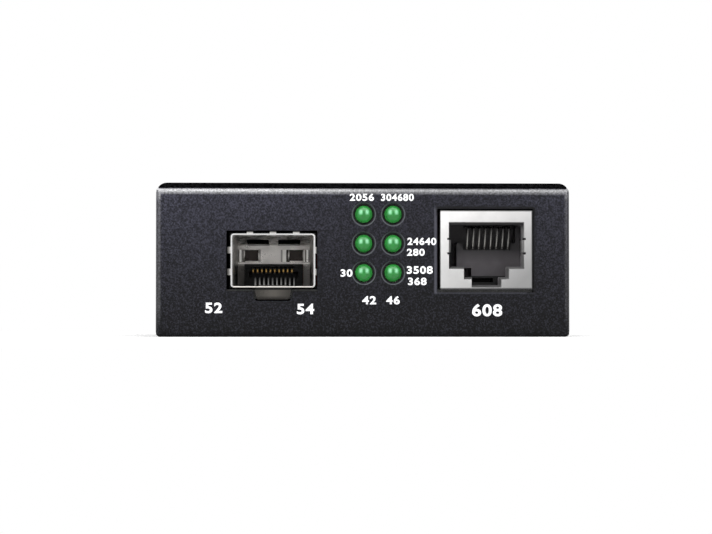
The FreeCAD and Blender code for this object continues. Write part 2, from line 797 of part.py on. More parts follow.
def sfp_cage_floor():
    """Bottom sheet of the cage with its turned-down latch tongue at the front."""
    t = sfp_sheet
    reach = sfp_wide / 2 - t - sfp_floor_play
    end = sfp_connector_face - t
    plate = box(sfp_x - reach, sfp_x + reach, sfp_face, end, sfp_bottom, sfp_bottom + t)
    pad = box(sfp_x - sfp_pad_wide / 2, sfp_x + sfp_pad_wide / 2, sfp_face + sfp_pad_high,
              sfp_face + sfp_pad_high + sfp_pad_long, sfp_bottom + t, sfp_bottom + t + sfp_pad_high)
    catch_y = sfp_face + sfp_catch_back
    catch = polygon_prism("xy", [(sfp_x - sfp_catch_wide / 2, catch_y + sfp_catch_long),
                                 (sfp_x + sfp_catch_wide / 2, catch_y + sfp_catch_long),
                                 (sfp_x, catch_y)], sfp_bottom - 1, sfp_bottom + 1)
    top = sfp_latch_wide / 2
    low = top - sfp_latch_taper
    drop = sfp_bottom - sfp_latch_drop
    corner = 0.8 * sfp_latch_taper
    right = [(top, sfp_bottom + t), (top, sfp_bottom - t), (low, drop + corner), (low - corner, drop)]
    outline = [(sfp_x + x, z) for x, z in right] + [(sfp_x - x, z) for x, z in reversed(right)]
    tongue_face = polygon_prism("xz", outline, sfp_face, sfp_face + sfp_latch_drop)
    y0 = sfp_face + sfp_latch_lean
    y1 = y0 + sfp_latch_lean * sfp_latch_drop
    lean = polygon_prism("yz", [(y0, sfp_bottom), (y1, drop - 0.1), (y1 + t, drop - 0.1),
                                (y0 + t, sfp_bottom + t / 3)], sfp_x - top, sfp_x + top)
    return fuse([cut(plate, [catch]), pad, tongue_face.common(lean)])


def sfp_ground_collar():
    """Thin collar behind the panel with sprung fingers that reach through the cage's window."""
    t = sfp_finger_thick
    x0 = sfp_x - sfp_wide / 2 - sfp_collar_play
    x1 = sfp_x + sfp_wide / 2 + sfp_collar_play
    z1 = sfp_top + sfp_collar_play
    start = front + base_sheet + sfp_collar_behind
    end = start + sfp_collar_long
    ring = box(x0 - t, x1 + t, start, end, sfp_bottom, z1 + t).cut(box(x0, x1, start, end, sfp_bottom, z1))
    tip = front - sfp_sheet
    bend = front + base_sheet / 2
    bow = sfp_finger_bow
    w = sfp_finger_wide / 2
    side_bow = bow - t / 2
    fingers = []
    for x in sfp_roof_fingers:
        fingers.append(polygon_prism("yz", [(start + t, z1), (start + t, z1 + t), (bend, z1 + bow),
                                            (tip, z1 + t), (tip, z1), (bend, z1 + bow - t)],
                                     sfp_x + x - w, sfp_x + x + w))
    for up in sfp_side_fingers:
        z = sfp_bottom + up
        fingers.append(polygon_prism("xy", [(x0, start + t), (x0 - t, start + t), (x0 - bow - t, bend),
                                            (x0 - t, tip), (x0, tip), (x0 - bow, bend)], z - w, z + w))
        fingers.append(polygon_prism("xy", [(x1, start + t), (x1 + t, start + t), (x1 + side_bow, bend),
                                            (x1 + 0.7 * t, tip), (x1, tip), (x1, bend)], z - w, z + w))
    return fuse([ring] + fingers)


def contact_places(offset):
    middle = (sfp_contact_count - 1) / 2
    return [sfp_x + offset + (step - middle) * sfp_contact_pitch for step in range(sfp_contact_count)]


def sfp_connector_body():
    """Black edge-card connector at the back of the cage, slotted, with a groove for every contact."""
    reach = sfp_connector_wide / 2
    z0 = sfp_bottom
    y0 = sfp_connector_face
    deep = y0 + sfp_slot_deep
    body = box(sfp_x - reach, sfp_x + reach, y0, y0 + sfp_connector_long, board_top, z0 + sfp_connector_tall)
    slot_reach = reach - sfp_slot_end_wall
    margin = sfp_contact_front / 2
    low = z0 + sfp_lower_low - margin
    high = z0 + sfp_upper_high + margin
    slot_low = z0 + sfp_slot_up
    tools = [box(sfp_x - slot_reach, sfp_x + slot_reach, y0 - 1, deep, slot_low, slot_low + sfp_slot_tall),
             box(sfp_x - reach + margin, sfp_x + reach - margin, y0 - 1, y0 + sfp_connector_front, low, high)]
    groove = sfp_contact_wide / 2 + sfp_contact_play
    slot_middle = slot_low + sfp_slot_tall / 2
    for x in contact_places(-sfp_contact_offset):
        tools.append(box(x - groove, x + groove, y0 - 1, deep, slot_middle, high))
    for x in contact_places(sfp_contact_offset):
        tools.append(box(x - groove, x + groove, y0 - 1, deep, low, slot_middle))
    return cut(body, tools)


def sfp_contacts(offset, root, tip):
    """One row of contacts: each runs forward at its root level and turns to its tip level at the front."""
    inward = math.copysign(sfp_contact_thick, tip - root)
    y0 = sfp_connector_face + sfp_contact_front
    y1 = sfp_connector_face + sfp_slot_deep - sfp_contact_play
    z = sfp_bottom
    profile = [(y1, z + root), (y0, z + root), (y0, z + tip), (y0 + sfp_contact_thick, z + tip),
               (y0 + 2 * sfp_contact_thick, z + root + inward), (y1, z + root + inward)]
    wide = sfp_contact_wide / 2
    return Part.makeCompound([polygon_prism("yz", profile, x - wide, x + wide)
                              for x in contact_places(offset)])


def sfp_contacts_upper():
    return sfp_contacts(-sfp_contact_offset, sfp_upper_high, sfp_upper_low)


def sfp_contacts_lower():
    return sfp_contacts(sfp_contact_offset, sfp_lower_low, sfp_lower_high)


# ---- status lamps ------------------------------------------------------------------------
def lamp(x, z):
    """One lamp: a straight barrel that narrows in two bands to a blunt domed tip."""
    radius = lamp_diameter / 2
    profile = [vec(x, lamp_foot, z)]
    for turn in (90, 45, 18):
        angle = math.radians(turn)
        profile.append(vec(x + radius * math.sin(angle), lamp_tip + radius * (1 - math.cos(angle)), z))
    profile.insert(1, vec(x + radius, lamp_foot, z))
    profile.append(vec(x, lamp_tip + radius * (1 - math.cos(angle)), z))
    face = Part.Face(Part.makePolygon(profile + [profile[0]]))
    return face.revolve(vec(x, 0, z), vec(0, 1, 0), 360)


def lamp_holder():
    """Black block that lines up the lamps behind the panel and carries them on the board."""
    start = front + base_sheet + lamp_holder_gap
    margin = (lamp_pitch - lamp_diameter) / 2
    reach = lamp_diameter / 2 + margin
    x0 = lamp_left_x - reach
    x1 = lamp_left_x + (lamp_columns - 1) * lamp_pitch + reach
    end = start + lamp_holder_long
    body = box(x0, x1, start, end, board_top, lamp_top_z + reach)
    tools = [flats("y", lamp_diameter / 2 + lamp_play, centre, start - 1, end + 1, hole=True)
             for centre in lamp_places()]
    return cut(body, tools)


def lamp_leads():
    """Two bent wires from each lamp's foot, back and down to the board."""
    group = []
    wire = lamp_lead_thick
    for index, (x, z) in enumerate(lamp_places()):
        row = index % lamp_rows
        turn = lamp_foot + (lamp_rows - row + 1) * lamp_lead_step
        for side in (-1, 1):
            x0 = x + side * lamp_lead_spread / 4 - wire / 2
            along = box(x0, x0 + wire, lamp_foot, turn, z - wire / 2, z + wire / 2)
            down = box(x0, x0 + wire, turn - wire, turn, board_top, z + wire / 2)
            group.append(fuse([along, down]))
    return Part.makeCompound(group)


# ---- power jack --------------------------------------------------------------------------
def dc_jack_body():
    z = board_top + dc_axis_up
    block = box(dc_x - dc_wide / 2, dc_x + dc_wide / 2, dc_inner_face - dc_long, dc_inner_face, board_top,
                board_top + dc_tall)
    nose = rod("y", dc_nose / 2, (dc_x, z), dc_inner_face, dc_face)
    bore = rod("y", dc_bore / 2, (dc_x, z), dc_face - dc_bore_long, dc_face + 1)
    half_slot = dc_spring_slot_wide / 2
    spring_slot = box(dc_x - half_slot, dc_x + half_slot, dc_inner_face - dc_long - 1, dc_inner_face - 3.0,
                      board_top + dc_spring_up - dc_panel_gap, z - dc_bore / 2 + 2 * dc_panel_gap)
    root_end = dc_face - dc_bore_long - dc_pin_root - dc_panel_gap
    root = flats("y", dc_pin / 2 + thread_clearance, (dc_x, z), root_end, dc_face, hole=True)
    return cut(fuse([block, nose]), [bore, spring_slot, root])


def dc_jack_pin():
    """Centre pin of the power jack, its tip blunted by a short taper."""
    centre = (dc_x, board_top + dc_axis_up)
    start = dc_face - dc_bore_long - dc_pin_root
    end = dc_face - dc_bore_long + dc_pin_long
    barrel = flats("y", dc_pin / 2, centre, start, end)
    tip = [e for e in barrel.Edges if e.BoundBox.YMin > end - 0.01]
    return barrel.makeChamfer(dc_pin / 5, tip)


def dc_jack_spring():
    """Leaf that presses on the plug's sleeve from below."""
    low = board_top + dc_spring_up
    thick = dc_spring_thick
    touch = board_top + dc_axis_up - dc_bore / 2 + dc_spring_rise
    y0 = dc_inner_face - dc_long - thick
    y1 = dc_face - dc_bore_long / 2 - 3 * thick
    rise = y1 - dc_pin_long / 2 + thick
    return polygon_prism("yz", [(y0, low), (y0, low + thick), (rise, low + thick), (y1, touch),
                                (y1 + 3 * thick, touch - thick), (y1 + 3 * thick, touch - 2 * thick),
                                (y1, touch - thick), (rise + thick, low)],
                         dc_x - dc_spring_wide / 2, dc_x + dc_spring_wide / 2)


# ---- two-way switch ----------------------------------------------------------------------
def switch_places():
    return [switch_x + (step - (switch_count - 1) / 2) * switch_pitch for step in range(switch_count)]


def knob_low():
    """Underside of each knob in its lower position."""
    return board_top + (switch_tall - knob_tall - switch_travel) / 2


def dip_switch_body():
    body = box(switch_x - switch_wide / 2, switch_x + switch_wide / 2, switch_face - switch_long, switch_face,
               board_top, board_top + switch_tall)
    low = knob_low() - knob_play
    high = knob_low() + knob_tall + switch_travel + knob_play
    wall = switch_face - switch_wall
    tools = []
    for x in switch_places():
        reach = knob_wide / 2 + knob_play
        tools.append(box(x - reach, x + reach, wall, switch_face + 1, low, high))
        tools.append(box(x - reach - knob_foot_side, x + reach + knob_foot_side,
                         wall - knob_foot_thick - 2 * knob_play, wall, low - knob_foot, high + knob_foot))
    return cut(body, tools)


def dip_slider(x):
    """One knob with the wider foot that keeps it in its slot, in the lower position."""
    low = knob_low()
    foot_face = switch_face - switch_wall - knob_play
    knob = box(x - knob_wide / 2, x + knob_wide / 2, foot_face, switch_face + knob_stand, low,
               low + knob_tall)
    foot = box(x - knob_wide / 2 - knob_foot_side, x + knob_wide / 2 + knob_foot_side,
               foot_face - knob_foot_thick, foot_face, low - knob_foot, low + knob_tall + knob_foot)
    return fuse([knob, foot])


def switch_pin_places():
    return [(x, switch_face - back) for x in switch_places() for back in switch_pin_rows]


def dip_switch_pins():
    reach = switch_pin / 2
    return Part.makeCompound([box(x - reach, x + reach, y - reach, y + reach, board_bottom - switch_pin_below,
                                  board_top) for x, y in switch_pin_places()])


# ---- parts on the board ------------------------------------------------------------------
def chip(centre, wide, long, tall, stand):
    x, y = centre
    top = board_top + stand + tall
    body = box(x - wide / 2, x + wide / 2, y - long / 2, y + long / 2, board_top + stand, top)
    return body.makeChamfer(chip_chamfer, [e for e in body.Edges if e.BoundBox.ZMin > top - chip_chamfer])


def gull_legs(centre, body_wide, per_side, pitch, leg, high, reach):
    """Two rows of bent legs, from the body's sides out and down to the board."""
    group = []
    x, y = centre
    knee = reach * 0.55
    thick = leg_thick
    outline = [(0, high), (knee, high), (knee, thick), (reach, thick), (reach, 0), (knee - thick, 0),
               (knee - thick, high - thick), (0, high - thick)]
    for side in (-1, 1):
        edge = x + side * body_wide / 2
        profile = [(edge + side * a, board_top + b) for a, b in outline]
        for step in range(per_side):
            y0 = y + (step - (per_side - 1) / 2) * pitch
            group.append(polygon_prism("xz", profile, y0 - leg / 2, y0 + leg / 2))
    return Part.makeCompound(group)


def block(centre, wide, long, tall):
    x, y = centre
    return box(x - wide / 2, x + wide / 2, y - long / 2, y + long / 2, board_top, board_top + tall)


def power_inductor():
    x, y = inductor_at
    reach = inductor_wide / 2
    top = board_top + inductor_tall
    body = chamfered_prism("xy", x - reach, x + reach, y - reach, y + reach, board_top, top, inductor_corner)
    return cut(body, [flats("z", inductor_well / 2, inductor_at, top - inductor_well_deep, top)])


def electrolytic(centre):
    x, y = centre
    radius = capacitor_diameter / 2
    top = board_top + capacitor_tall
    can = flats("z", radius, centre, board_top + capacitor_base, top)
    can = can.makeChamfer(capacitor_round, [e for e in can.Edges if e.BoundBox.ZMin > top - 0.01])
    reach = radius + capacitor_base_past
    base = chamfered_prism("xy", x - reach, x + reach, y - reach, y + reach, board_top,
                           board_top + capacitor_base, capacitor_base)
    return fuse([can, base])


def crystal_can():
    x, y = crystal_at
    return chamfered_prism("xy", x - crystal_long / 2, x + crystal_long / 2, y - crystal_wide / 2,
                           y + crystal_wide / 2, board_top, board_top + crystal_tall, crystal_corner)


def around_main_chip():
    """Places beside the main chip, three down each side."""
    x, y = main_chip_at
    beside = main_chip_wide / 2 + 2.2
    return [(x + side * beside, y + step * main_chip_wide * 0.3) for side in (-1, 1) for step in (-1, 0, 1)]


def small_parts(places, tall):
    return Part.makeCompound([block(centre, small_wide, small_long, tall) for centre in places])


def small_resistor_places():
    x, y = main_chip_at
    return [(x - main_chip_wide + 2.2 * step, y + main_chip_wide / 2 + 2 * small_wide) for step in range(4)]


def build():
    save("base_chassis", base_chassis())
    save("top_cover", top_cover())
    save("cover_screws", cover_screws())
    save("board_standoffs", board_standoffs())
    save("board_screws", board_screws())
    save("circuit_board", circuit_board())
    save("rj45_shield", rj45_shield())
    save("rj45_insert", rj45_insert())
    save("rj45_contacts", rj45_contacts())
    save("sfp_cage_shell", sfp_cage_shell())
    save("sfp_cage_floor", sfp_cage_floor())
    save("sfp_ground_collar", sfp_ground_collar())
    save("sfp_connector_body", sfp_connector_body())
    save("sfp_contacts_upper", sfp_contacts_upper())
    save("sfp_contacts_lower", sfp_contacts_lower())
    save("lamp_holder", lamp_holder())
    save("lamp_leads", lamp_leads())
    for number, (x, z) in enumerate(lamp_places(), start=1):
        save("lamp_" + str(number), lamp(x, z))
    save("dc_jack_body", dc_jack_body())
    save("dc_jack_pin", dc_jack_pin())
    save("dc_jack_spring", dc_jack_spring())
    save("dip_switch_body", dip_switch_body())
    for number, x in enumerate(switch_places(), start=1):
        save("dip_slider_" + str(number), dip_slider(x))
    save("dip_switch_pins", dip_switch_pins())
    save("lan_transformer", chip(transformer_at, transformer_wide, transformer_long, transformer_tall,
                                 transformer_stand))
    save("lan_transformer_pins", gull_legs(transformer_at, transformer_wide, transformer_legs, leg_pitch,
                                           leg_wide, transformer_leg_high, transformer_leg_reach))
    save("main_chip", chip(main_chip_at, main_chip_wide, main_chip_wide, main_chip_tall, 0.0))
    save("memory_chip", chip(memory_at, memory_wide, memory_long, memory_tall, memory_stand))
    save("memory_chip_pins", gull_legs(memory_at, memory_wide, memory_legs, leg_pitch, leg_wide,
                                       memory_leg_high, memory_leg_reach))
    save("regulator", chip(regulator_at, regulator_wide, regulator_long, regulator_tall, regulator_stand))
    save("regulator_pins", gull_legs(regulator_at, regulator_wide, regulator_legs, regulator_leg_pitch,
                                     regulator_leg_wide, regulator_leg_high, regulator_leg_reach))
    save("power_inductor", power_inductor())
    for number, centre in enumerate(capacitor_places, start=1):
        save("capacitor_" + str(number), electrolytic(centre))
    save("crystal_can", crystal_can())
    save("input_diode", block(diode_at, diode_wide, diode_long, diode_tall))
    save("input_fuse", block(fuse_at, fuse_wide, fuse_long, fuse_tall))
    save("chip_capacitors", small_parts(around_main_chip(), small_capacitor_tall))
    save("chip_resistors", small_parts(small_resistor_places(), small_resistor_tall))


build()
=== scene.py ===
"""Finishes, lenses, printed numbers, studio and camera for the fibre media converter."""
import json
import math

import bpy
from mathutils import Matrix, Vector


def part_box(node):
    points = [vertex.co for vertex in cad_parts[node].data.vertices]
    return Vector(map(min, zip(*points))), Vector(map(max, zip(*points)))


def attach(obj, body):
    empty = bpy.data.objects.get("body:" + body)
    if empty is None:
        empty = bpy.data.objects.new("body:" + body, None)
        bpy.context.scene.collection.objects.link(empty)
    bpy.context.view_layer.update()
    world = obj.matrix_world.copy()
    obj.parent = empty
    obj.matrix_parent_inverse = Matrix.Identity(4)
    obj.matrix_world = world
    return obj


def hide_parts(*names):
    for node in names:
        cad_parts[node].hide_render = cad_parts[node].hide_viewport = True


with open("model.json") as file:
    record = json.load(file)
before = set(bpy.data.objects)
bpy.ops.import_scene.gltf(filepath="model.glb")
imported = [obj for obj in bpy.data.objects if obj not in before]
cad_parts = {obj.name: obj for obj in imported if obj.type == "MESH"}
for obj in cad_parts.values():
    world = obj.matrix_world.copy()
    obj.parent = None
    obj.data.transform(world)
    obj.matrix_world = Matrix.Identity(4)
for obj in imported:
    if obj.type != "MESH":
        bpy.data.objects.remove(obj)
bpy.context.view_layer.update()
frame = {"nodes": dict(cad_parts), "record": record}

MM = 0.001
HOUSING = "housing"
nodes = frame["nodes"]

# ---- places taken from the frame ---------------------------------------------------------
chassis_low, chassis_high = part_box("base_chassis")
cover_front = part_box("top_cover")[0].y
shield_low, shield_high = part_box("rj45_shield")
wires_low, wires_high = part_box("rj45_contacts")
cage_low, cage_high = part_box("sfp_cage_shell")
connector_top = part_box("sfp_connector_body")[1].z
lamp_low, lamp_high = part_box("lamp_1")
lamp_middle = (lamp_low + lamp_high) / 2
panel_face = chassis_low.y
cage_middle_x = (cage_low.x + cage_high.x) / 2
cage_rear_wall = cage_high.y - 2.4 * MM

# ---- spacings inside the pieces ----------------------------------------------------------
WIRE_PITCH = 1.02 * MM
LATCH_RECESS_TOP = 10.55 * MM
LAMP_PITCH = 4.95 * MM


def colour(red, green, blue):
    """A colour from its 0 to 255 display values."""
    linear = []
    for level in (red, green, blue):
        share = level / 255
        linear.append(share / 12.92 if share <= 0.04045 else ((share + 0.055) / 1.055) ** 2.4)
    return (*linear, 1.0)


def scaled(rgba, factor):
    return (*(channel * factor for channel in rgba[:3]), 1.0)


def grey(level):
    """A grey of a plain level, not a display value."""
    return (level, level, level, 1.0)


# ---- how finishes are written ------------------------------------------------------------
class Signal:
    """A value or colour inside a node tree; arithmetic on it adds the nodes that work it out."""

    def __init__(self, tree, socket):
        self.tree = tree
        self.socket = socket

    def __add__(self, other):
        return self.tree.maths("ADD", self, other)

    __radd__ = __add__

    def __sub__(self, other):
        return self.tree.maths("SUBTRACT", self, other)

    def __rsub__(self, other):
        return self.tree.maths("SUBTRACT", other, self)

    def __mul__(self, other):
        return self.tree.maths("MULTIPLY", self, other)

    __rmul__ = __mul__

    def __pow__(self, other):
        return self.tree.maths("POWER", self, other)

    def __rpow__(self, other):
        return self.tree.maths("POWER", other, self)

    def __abs__(self):
        return self.tree.maths("ABSOLUTE", self)

    def repeat(self, middle, pitch):
        """How far a place is from the nearest of the middles spaced a pitch apart, with its sign."""
        return self.tree.maths("WRAP", self - middle, pitch / 2, -pitch / 2)


class NodeTree:
    """Nodes of a material, the world or a geometry modifier, added one by one."""

    def __init__(self, tree):
        self.tree = tree

    def node(self, kind, settings=None, sockets=None, out=0):
        """Adds a node: its settings first, then the values or signals of its sockets."""
        made = self.tree.nodes.new(kind)
        for name, value in (settings or {}).items():
            if name == "stops":
                self.set_stops(made.color_ramp, value)
            else:
                setattr(made, name, value)
        for name, value in (sockets or {}).items():
            self.feed(made.inputs[name], value)
        return Signal(self, made.outputs[out]) if made.outputs else made

    @staticmethod
    def set_stops(ramp, stops):
        while len(ramp.elements) < len(stops):
            ramp.elements.new(1.0)
        for element, (position, rgba) in zip(ramp.elements, stops):
            element.position = position
            element.color = rgba

    def feed(self, socket, value):
        if isinstance(value, Signal):
            self.tree.links.new(value.socket, socket)
        else:
            socket.default_value = value

    def maths(self, operation, *values):
        return self.node("ShaderNodeMath", {"operation": operation}, dict(enumerate(values)))

    def largest(self, first, *others):
        """The largest of several values."""
        for other in others:
            first = self.maths("MAXIMUM", first, other)
        return first

    def mix(self, first, second, factor):
        """Blends two colours."""
        return self.node("ShaderNodeMix", {"data_type": "RGBA"}, {0: factor, 6: first, 7: second}, out=2)

    def span(self, signal, low, high, to_low=0.0, to_high=1.0):
        """Moves a value's range from low..high to to_low..to_high, held at its ends."""
        sockets = {0: signal, 1: low, 2: high, 3: to_low, 4: to_high}
        return self.node("ShaderNodeMapRange", {"clamp": True}, sockets)

    def band(self, signal, low, high, soft):
        """One between low and high, falling to nothing over a soft margin outside them."""
        return self.span(signal, low - soft, low) * self.span(signal, high, high + soft, 1.0, 0.0)

    def strips(self, signal, rows):
        """Several bands added up, each given in millimetres as (low, high, soft margin, strength)."""
        total = 0
        for low, high, soft, strength in rows:
            total = self.band(signal, low * MM, high * MM, soft * MM) * strength + total
        return total

    def rays(self, kind):
        """One for rays of a kind: Camera, Glossy or Transmission."""
        return self.node("ShaderNodeLightPath", out="Is " + kind + " Ray")


class Finish(NodeTree):
    """One material: a Principled surface and the nodes that feed it."""

    def __init__(self, name):
        self.material = bpy.data.materials.new(name)
        self.material.use_nodes = True
        super().__init__(self.material.node_tree)
        self.surface = self.tree.nodes["Principled BSDF"]
        self.output = self.tree.nodes["Material Output"]
        self.spot = self.node("ShaderNodeTexCoord", out="Object")
        self.x, self.y, self.z = self.axes(self.spot)

    def axes(self, vector):
        """The three parts of a vector."""
        first = self.node("ShaderNodeSeparateXYZ", None, {"Vector": vector})
        return [Signal(self, socket) for socket in first.socket.node.outputs]

    def shade(self, **sockets):
        """Feeds the surface; a name's underscores stand for the spaces in the socket's name."""
        for name, value in sockets.items():
            self.feed(self.surface.inputs[name.replace("_", " ")], value)

    def noise(self, size, detail=2.0, stretch=(1, 1, 1), roughness=0.5):
        """Soft noise whose blobs are about size metres across, drawn out along an axis by stretch."""
        drawn = self.node("ShaderNodeMapping", {"vector_type": "TEXTURE"},
                          {"Vector": self.spot, "Scale": stretch})
        return self.node("ShaderNodeTexNoise", None,
                         {"Vector": drawn, "Scale": 1 / size, "Detail": detail, "Roughness": roughness})

    def relief(self, height, deep, strength=1.0):
        """Bumps the surface by a height signal; deep is the relief's depth in metres."""
        self.shade(Normal=self.node("ShaderNodeBump", None,
                                    {"Height": height, "Distance": deep, "Strength": strength}))


# ---- painted steel -----------------------------------------------------------------------
# painted shade on the front panel: the lightness left at its foot, and its lightness across from left to
# right
PANEL_FOOT_SHADE = 0.08
PANEL_SHADE_ACROSS = [(0.0, grey(1.0)), (0.06, grey(1.0)), (0.16, grey(0.92)),
                (0.35, grey(0.76)), (0.46, grey(0.62)), (0.66, grey(0.54)),
                (0.83, grey(0.57)), (0.95, grey(0.68)), (1.0, grey(0.72))]
# colour of the painted glints on the front panel's grain
PAINTED_GLINT = colour(74, 75, 86)
# painted highlight and painted shade on the rolled edge of the jack's opening
ROLL_HIGHLIGHT = colour(74, 74, 82)
ROLL_SHADE = colour(8, 8, 9)
# painted highlight ring on each lamp hole's edge, and painted shade in the gap round the lens
RING_HIGHLIGHT = colour(92, 92, 100)
RING_GAP_SHADE = colour(10, 10, 11)


def powder_coat(name, base, gloss, front=False):
    """Fine-textured powder coat on steel: soft pimples with paler crowns and a broad dull sheen."""
    coat = Finish(name)
    swells = coat.noise(0.6 * MM, 1.0)
    pimples = coat.noise(0.27 * MM, 1.5)
    fine = coat.noise(0.12 * MM, 0.0)
    cloud = coat.noise(9 * MM, 3.0)
    grain = swells * 0.1 + pimples * 0.62 + fine * 0.28
    tone = coat.mix(scaled(base, 0.45), scaled(base, 2.7), coat.span(grain, 0.42, 0.64))
    tone = coat.mix(tone, scaled(base, 0.85), coat.span(cloud, 0.45, 0.7, 0.0, 0.15))
    coat.relief(grain, 0.07 * MM)
    if front:
        # the front panel gets painted shade, painted glints and painted light on the edges of its openings
        tone = panel_painted_shade(coat, tone)
        # painted glints on the grain's crowns, strongest low down on the panel
        painted_glint = coat.span(grain, 0.50, 0.62) * coat.span(coat.z, 22 * MM, 2 * MM, 0.0, 0.18)
        tone = coat.mix(tone, PAINTED_GLINT, painted_glint)
        coat.shade(Coat_Weight=bend_shine(coat) * coat.span(grain, 0.42, 0.60, 0.5, 1.0),
                   Specular_IOR_Level=0.12, Coat_Roughness=0.42, Coat_IOR=3.1)
    else:
        behind = coat.span(coat.y, cover_front + 0.5 * MM, cover_front + 1.5 * MM)
        coat.shade(Coat_Weight=behind * 0.35, Specular_IOR_Level=0.0, Coat_Roughness=0.4, Coat_IOR=1.5)
    coat.shade(Base_Color=tone, Roughness=coat.span(fine, 0.3, 0.7, gloss - 0.06, gloss + 0.06))
    return coat.material


def panel_painted_shade(coat, tone):
    """Painted shade on the front panel, deepest low down and in the middle, with painted highlight and
    shade on the rolled edges of its openings.
    """
    across = coat.node("ShaderNodeValToRGB", {"stops": PANEL_SHADE_ACROSS},
                       {0: coat.span(coat.x, chassis_low.x, chassis_high.x)})
    rise = coat.span(coat.z, 0, 24 * MM) ** 1.4
    foot = coat.span(coat.z, 0, 1.3 * MM, 0.3, 1.0)
    up = (rise * (1 - PANEL_FOOT_SHADE) + PANEL_FOOT_SHADE) * foot
    front = coat.span(coat.y, panel_face + 3 * MM, panel_face + 1.6 * MM)
    # painted shade: the panel darkens low down, at its very foot and towards the middle
    tone = coat.mix(tone, colour(0, 0, 0), (1 - across * up) * (front * 0.7 + 0.3))
    edged = lamp_edges(coat, jack_edges(coat, tone))
    return coat.mix(tone, edged, coat.span(coat.y, panel_face + 0.4 * MM, panel_face + 0.2 * MM))


def jack_edges(coat, tone):
    """The rolled edge of the jack's opening gets a painted highlight at its left and foot, and painted
    shade at its top and right.
    """
    beside = coat.band(coat.z, shield_low.z - 0.5 * MM, shield_high.z + 0.2 * MM, 0.4 * MM)
    below = coat.band(coat.x, shield_low.x - 0.5 * MM, shield_high.x + 0.2 * MM, 0.4 * MM)
    left = coat.band(coat.x, shield_low.x - 0.90 * MM, shield_low.x - 0.68 * MM, 0.2 * MM) * beside
    foot = coat.band(coat.z, shield_low.z - 0.70 * MM, shield_low.z - 0.50 * MM, 0.15 * MM) * below
    top = coat.band(coat.z, shield_high.z - 0.73 * MM, shield_high.z + 0.57 * MM, 0.3 * MM) * below
    right = coat.band(coat.x, shield_high.x - 0.85 * MM, shield_high.x + 0.30 * MM, 0.25 * MM) * beside
    tone = coat.mix(tone, ROLL_HIGHLIGHT, left * 0.7 + foot * 0.35)
    return coat.mix(tone, ROLL_SHADE, (top + right) * 0.8)


def lamp_edges(coat, tone):
    """Each lamp's hole has a thin painted highlight ring on its edge, strongest below, and painted shade in
    the gap inside it.
    """
    side = coat.x.repeat(lamp_middle.x, LAMP_PITCH)
    above = coat.z.repeat(lamp_middle.z, LAMP_PITCH)
    away = (side * side + above * above) ** 0.5
    ring = coat.band(away, 1.9 * MM, 1.98 * MM, 0.12 * MM) * coat.span(above, 1.9 * MM, 0.9 * MM, 0.25, 1.0)
    gap_shade = coat.span(away, 1.88 * MM, 1.76 * MM)
    margin = 1.2 * MM
    columns = coat.band(coat.x, lamp_low.x - margin, lamp_high.x + LAMP_PITCH + margin, 0.05 * MM)
    rows = coat.band(coat.z, lamp_low.z - 2 * LAMP_PITCH - margin, lamp_high.z + margin, 0.05 * MM)
    block = columns * rows
    tone = coat.mix(tone, RING_HIGHLIGHT, ring * block * 0.75)
    return coat.mix(tone, RING_GAP_SHADE, gap_shade * block * 0.7)


def bend_shine(coat):
    """How strongly the front panel's bends shine: fully along the top, a little at the sides, not below."""
    leaves = coat.span(coat.y, panel_face, panel_face + 0.03 * MM)
    ends = coat.span(coat.y, panel_face + 1.5 * MM, panel_face + 1.9 * MM, 1.0, 0.0)
    down = chassis_high.z - coat.z
    crest = coat.span(down, 1.6 * MM, 2.4 * MM, 1.0, 0.3) * coat.span(down, 0.6 * MM, 1.0 * MM, 1.0, 0.55)
    upper = coat.span(coat.z, 1.3 * MM, 5 * MM)
    left = coat.span(coat.x, 5 * MM, -15 * MM, 0.62, 1.0)
    return leaves * ends * crest * upper * left


# ---- plated metal ------------------------------------------------------------------------
# strips across the cage's rear wall, in millimetres from its middle: painted highlights, dark seams and
# painted shade at the windows
SPRING_HIGHLIGHT_STRIPS = [(-6.5, -6.25, 0.1, 1), (-6.25, -6.0, 0.12, 1), (1.75, 2.3, 0.12, 1),
                 (5.6, 5.85, 0.08, 1), (6.25, 6.5, 0.1, 1)]
SEAM_STRIPS = [(-7.2, -6.65, 0.1, 0.7), (-6.12, -5.98, 0.08, 0.8), (-2.85, -2.6, 0.15, 0.6),
               (1.4, 1.55, 0.12, 0.6), (5.98, 6.12, 0.08, 0.8), (6.65, 7.2, 0.1, 0.7)]
WINDOW_SHADE_STRIPS = [(-5.9, -5.5, 0.04, 1), (2.38, 3.0, 0.04, 1)]


def plated_steel(name, base, gloss, metallic=1.0, painted_light=None):
    """Thin plated sheet with faint rolling marks and clouds; painted_light adds painted shade where light
    can't reach and painted highlights where it falls.
    """
    sheet = Finish(name)
    rolled = sheet.noise(0.09 * MM, 2.0, (1, 14, 1))
    cloud = sheet.noise(2.4 * MM, 3.0)
    rub = sheet.noise(0.5 * MM, 4.0, (1, 3, 1), 0.6)
    tone = sheet.mix(base, scaled(base, 0.86), sheet.span(cloud, 0.4, 0.75))
    if painted_light:
        tone = painted_light(sheet, tone)
    sheet.shade(Base_Color=tone, Metallic=metallic,
                Roughness=sheet.span(rolled * 0.5 + cloud * 0.5, 0.3, 0.7, gloss - 0.05, gloss + 0.05))
    sheet.relief(rolled * 0.6 + rub * 0.4, 0.006 * MM, 0.5)
    return sheet.material


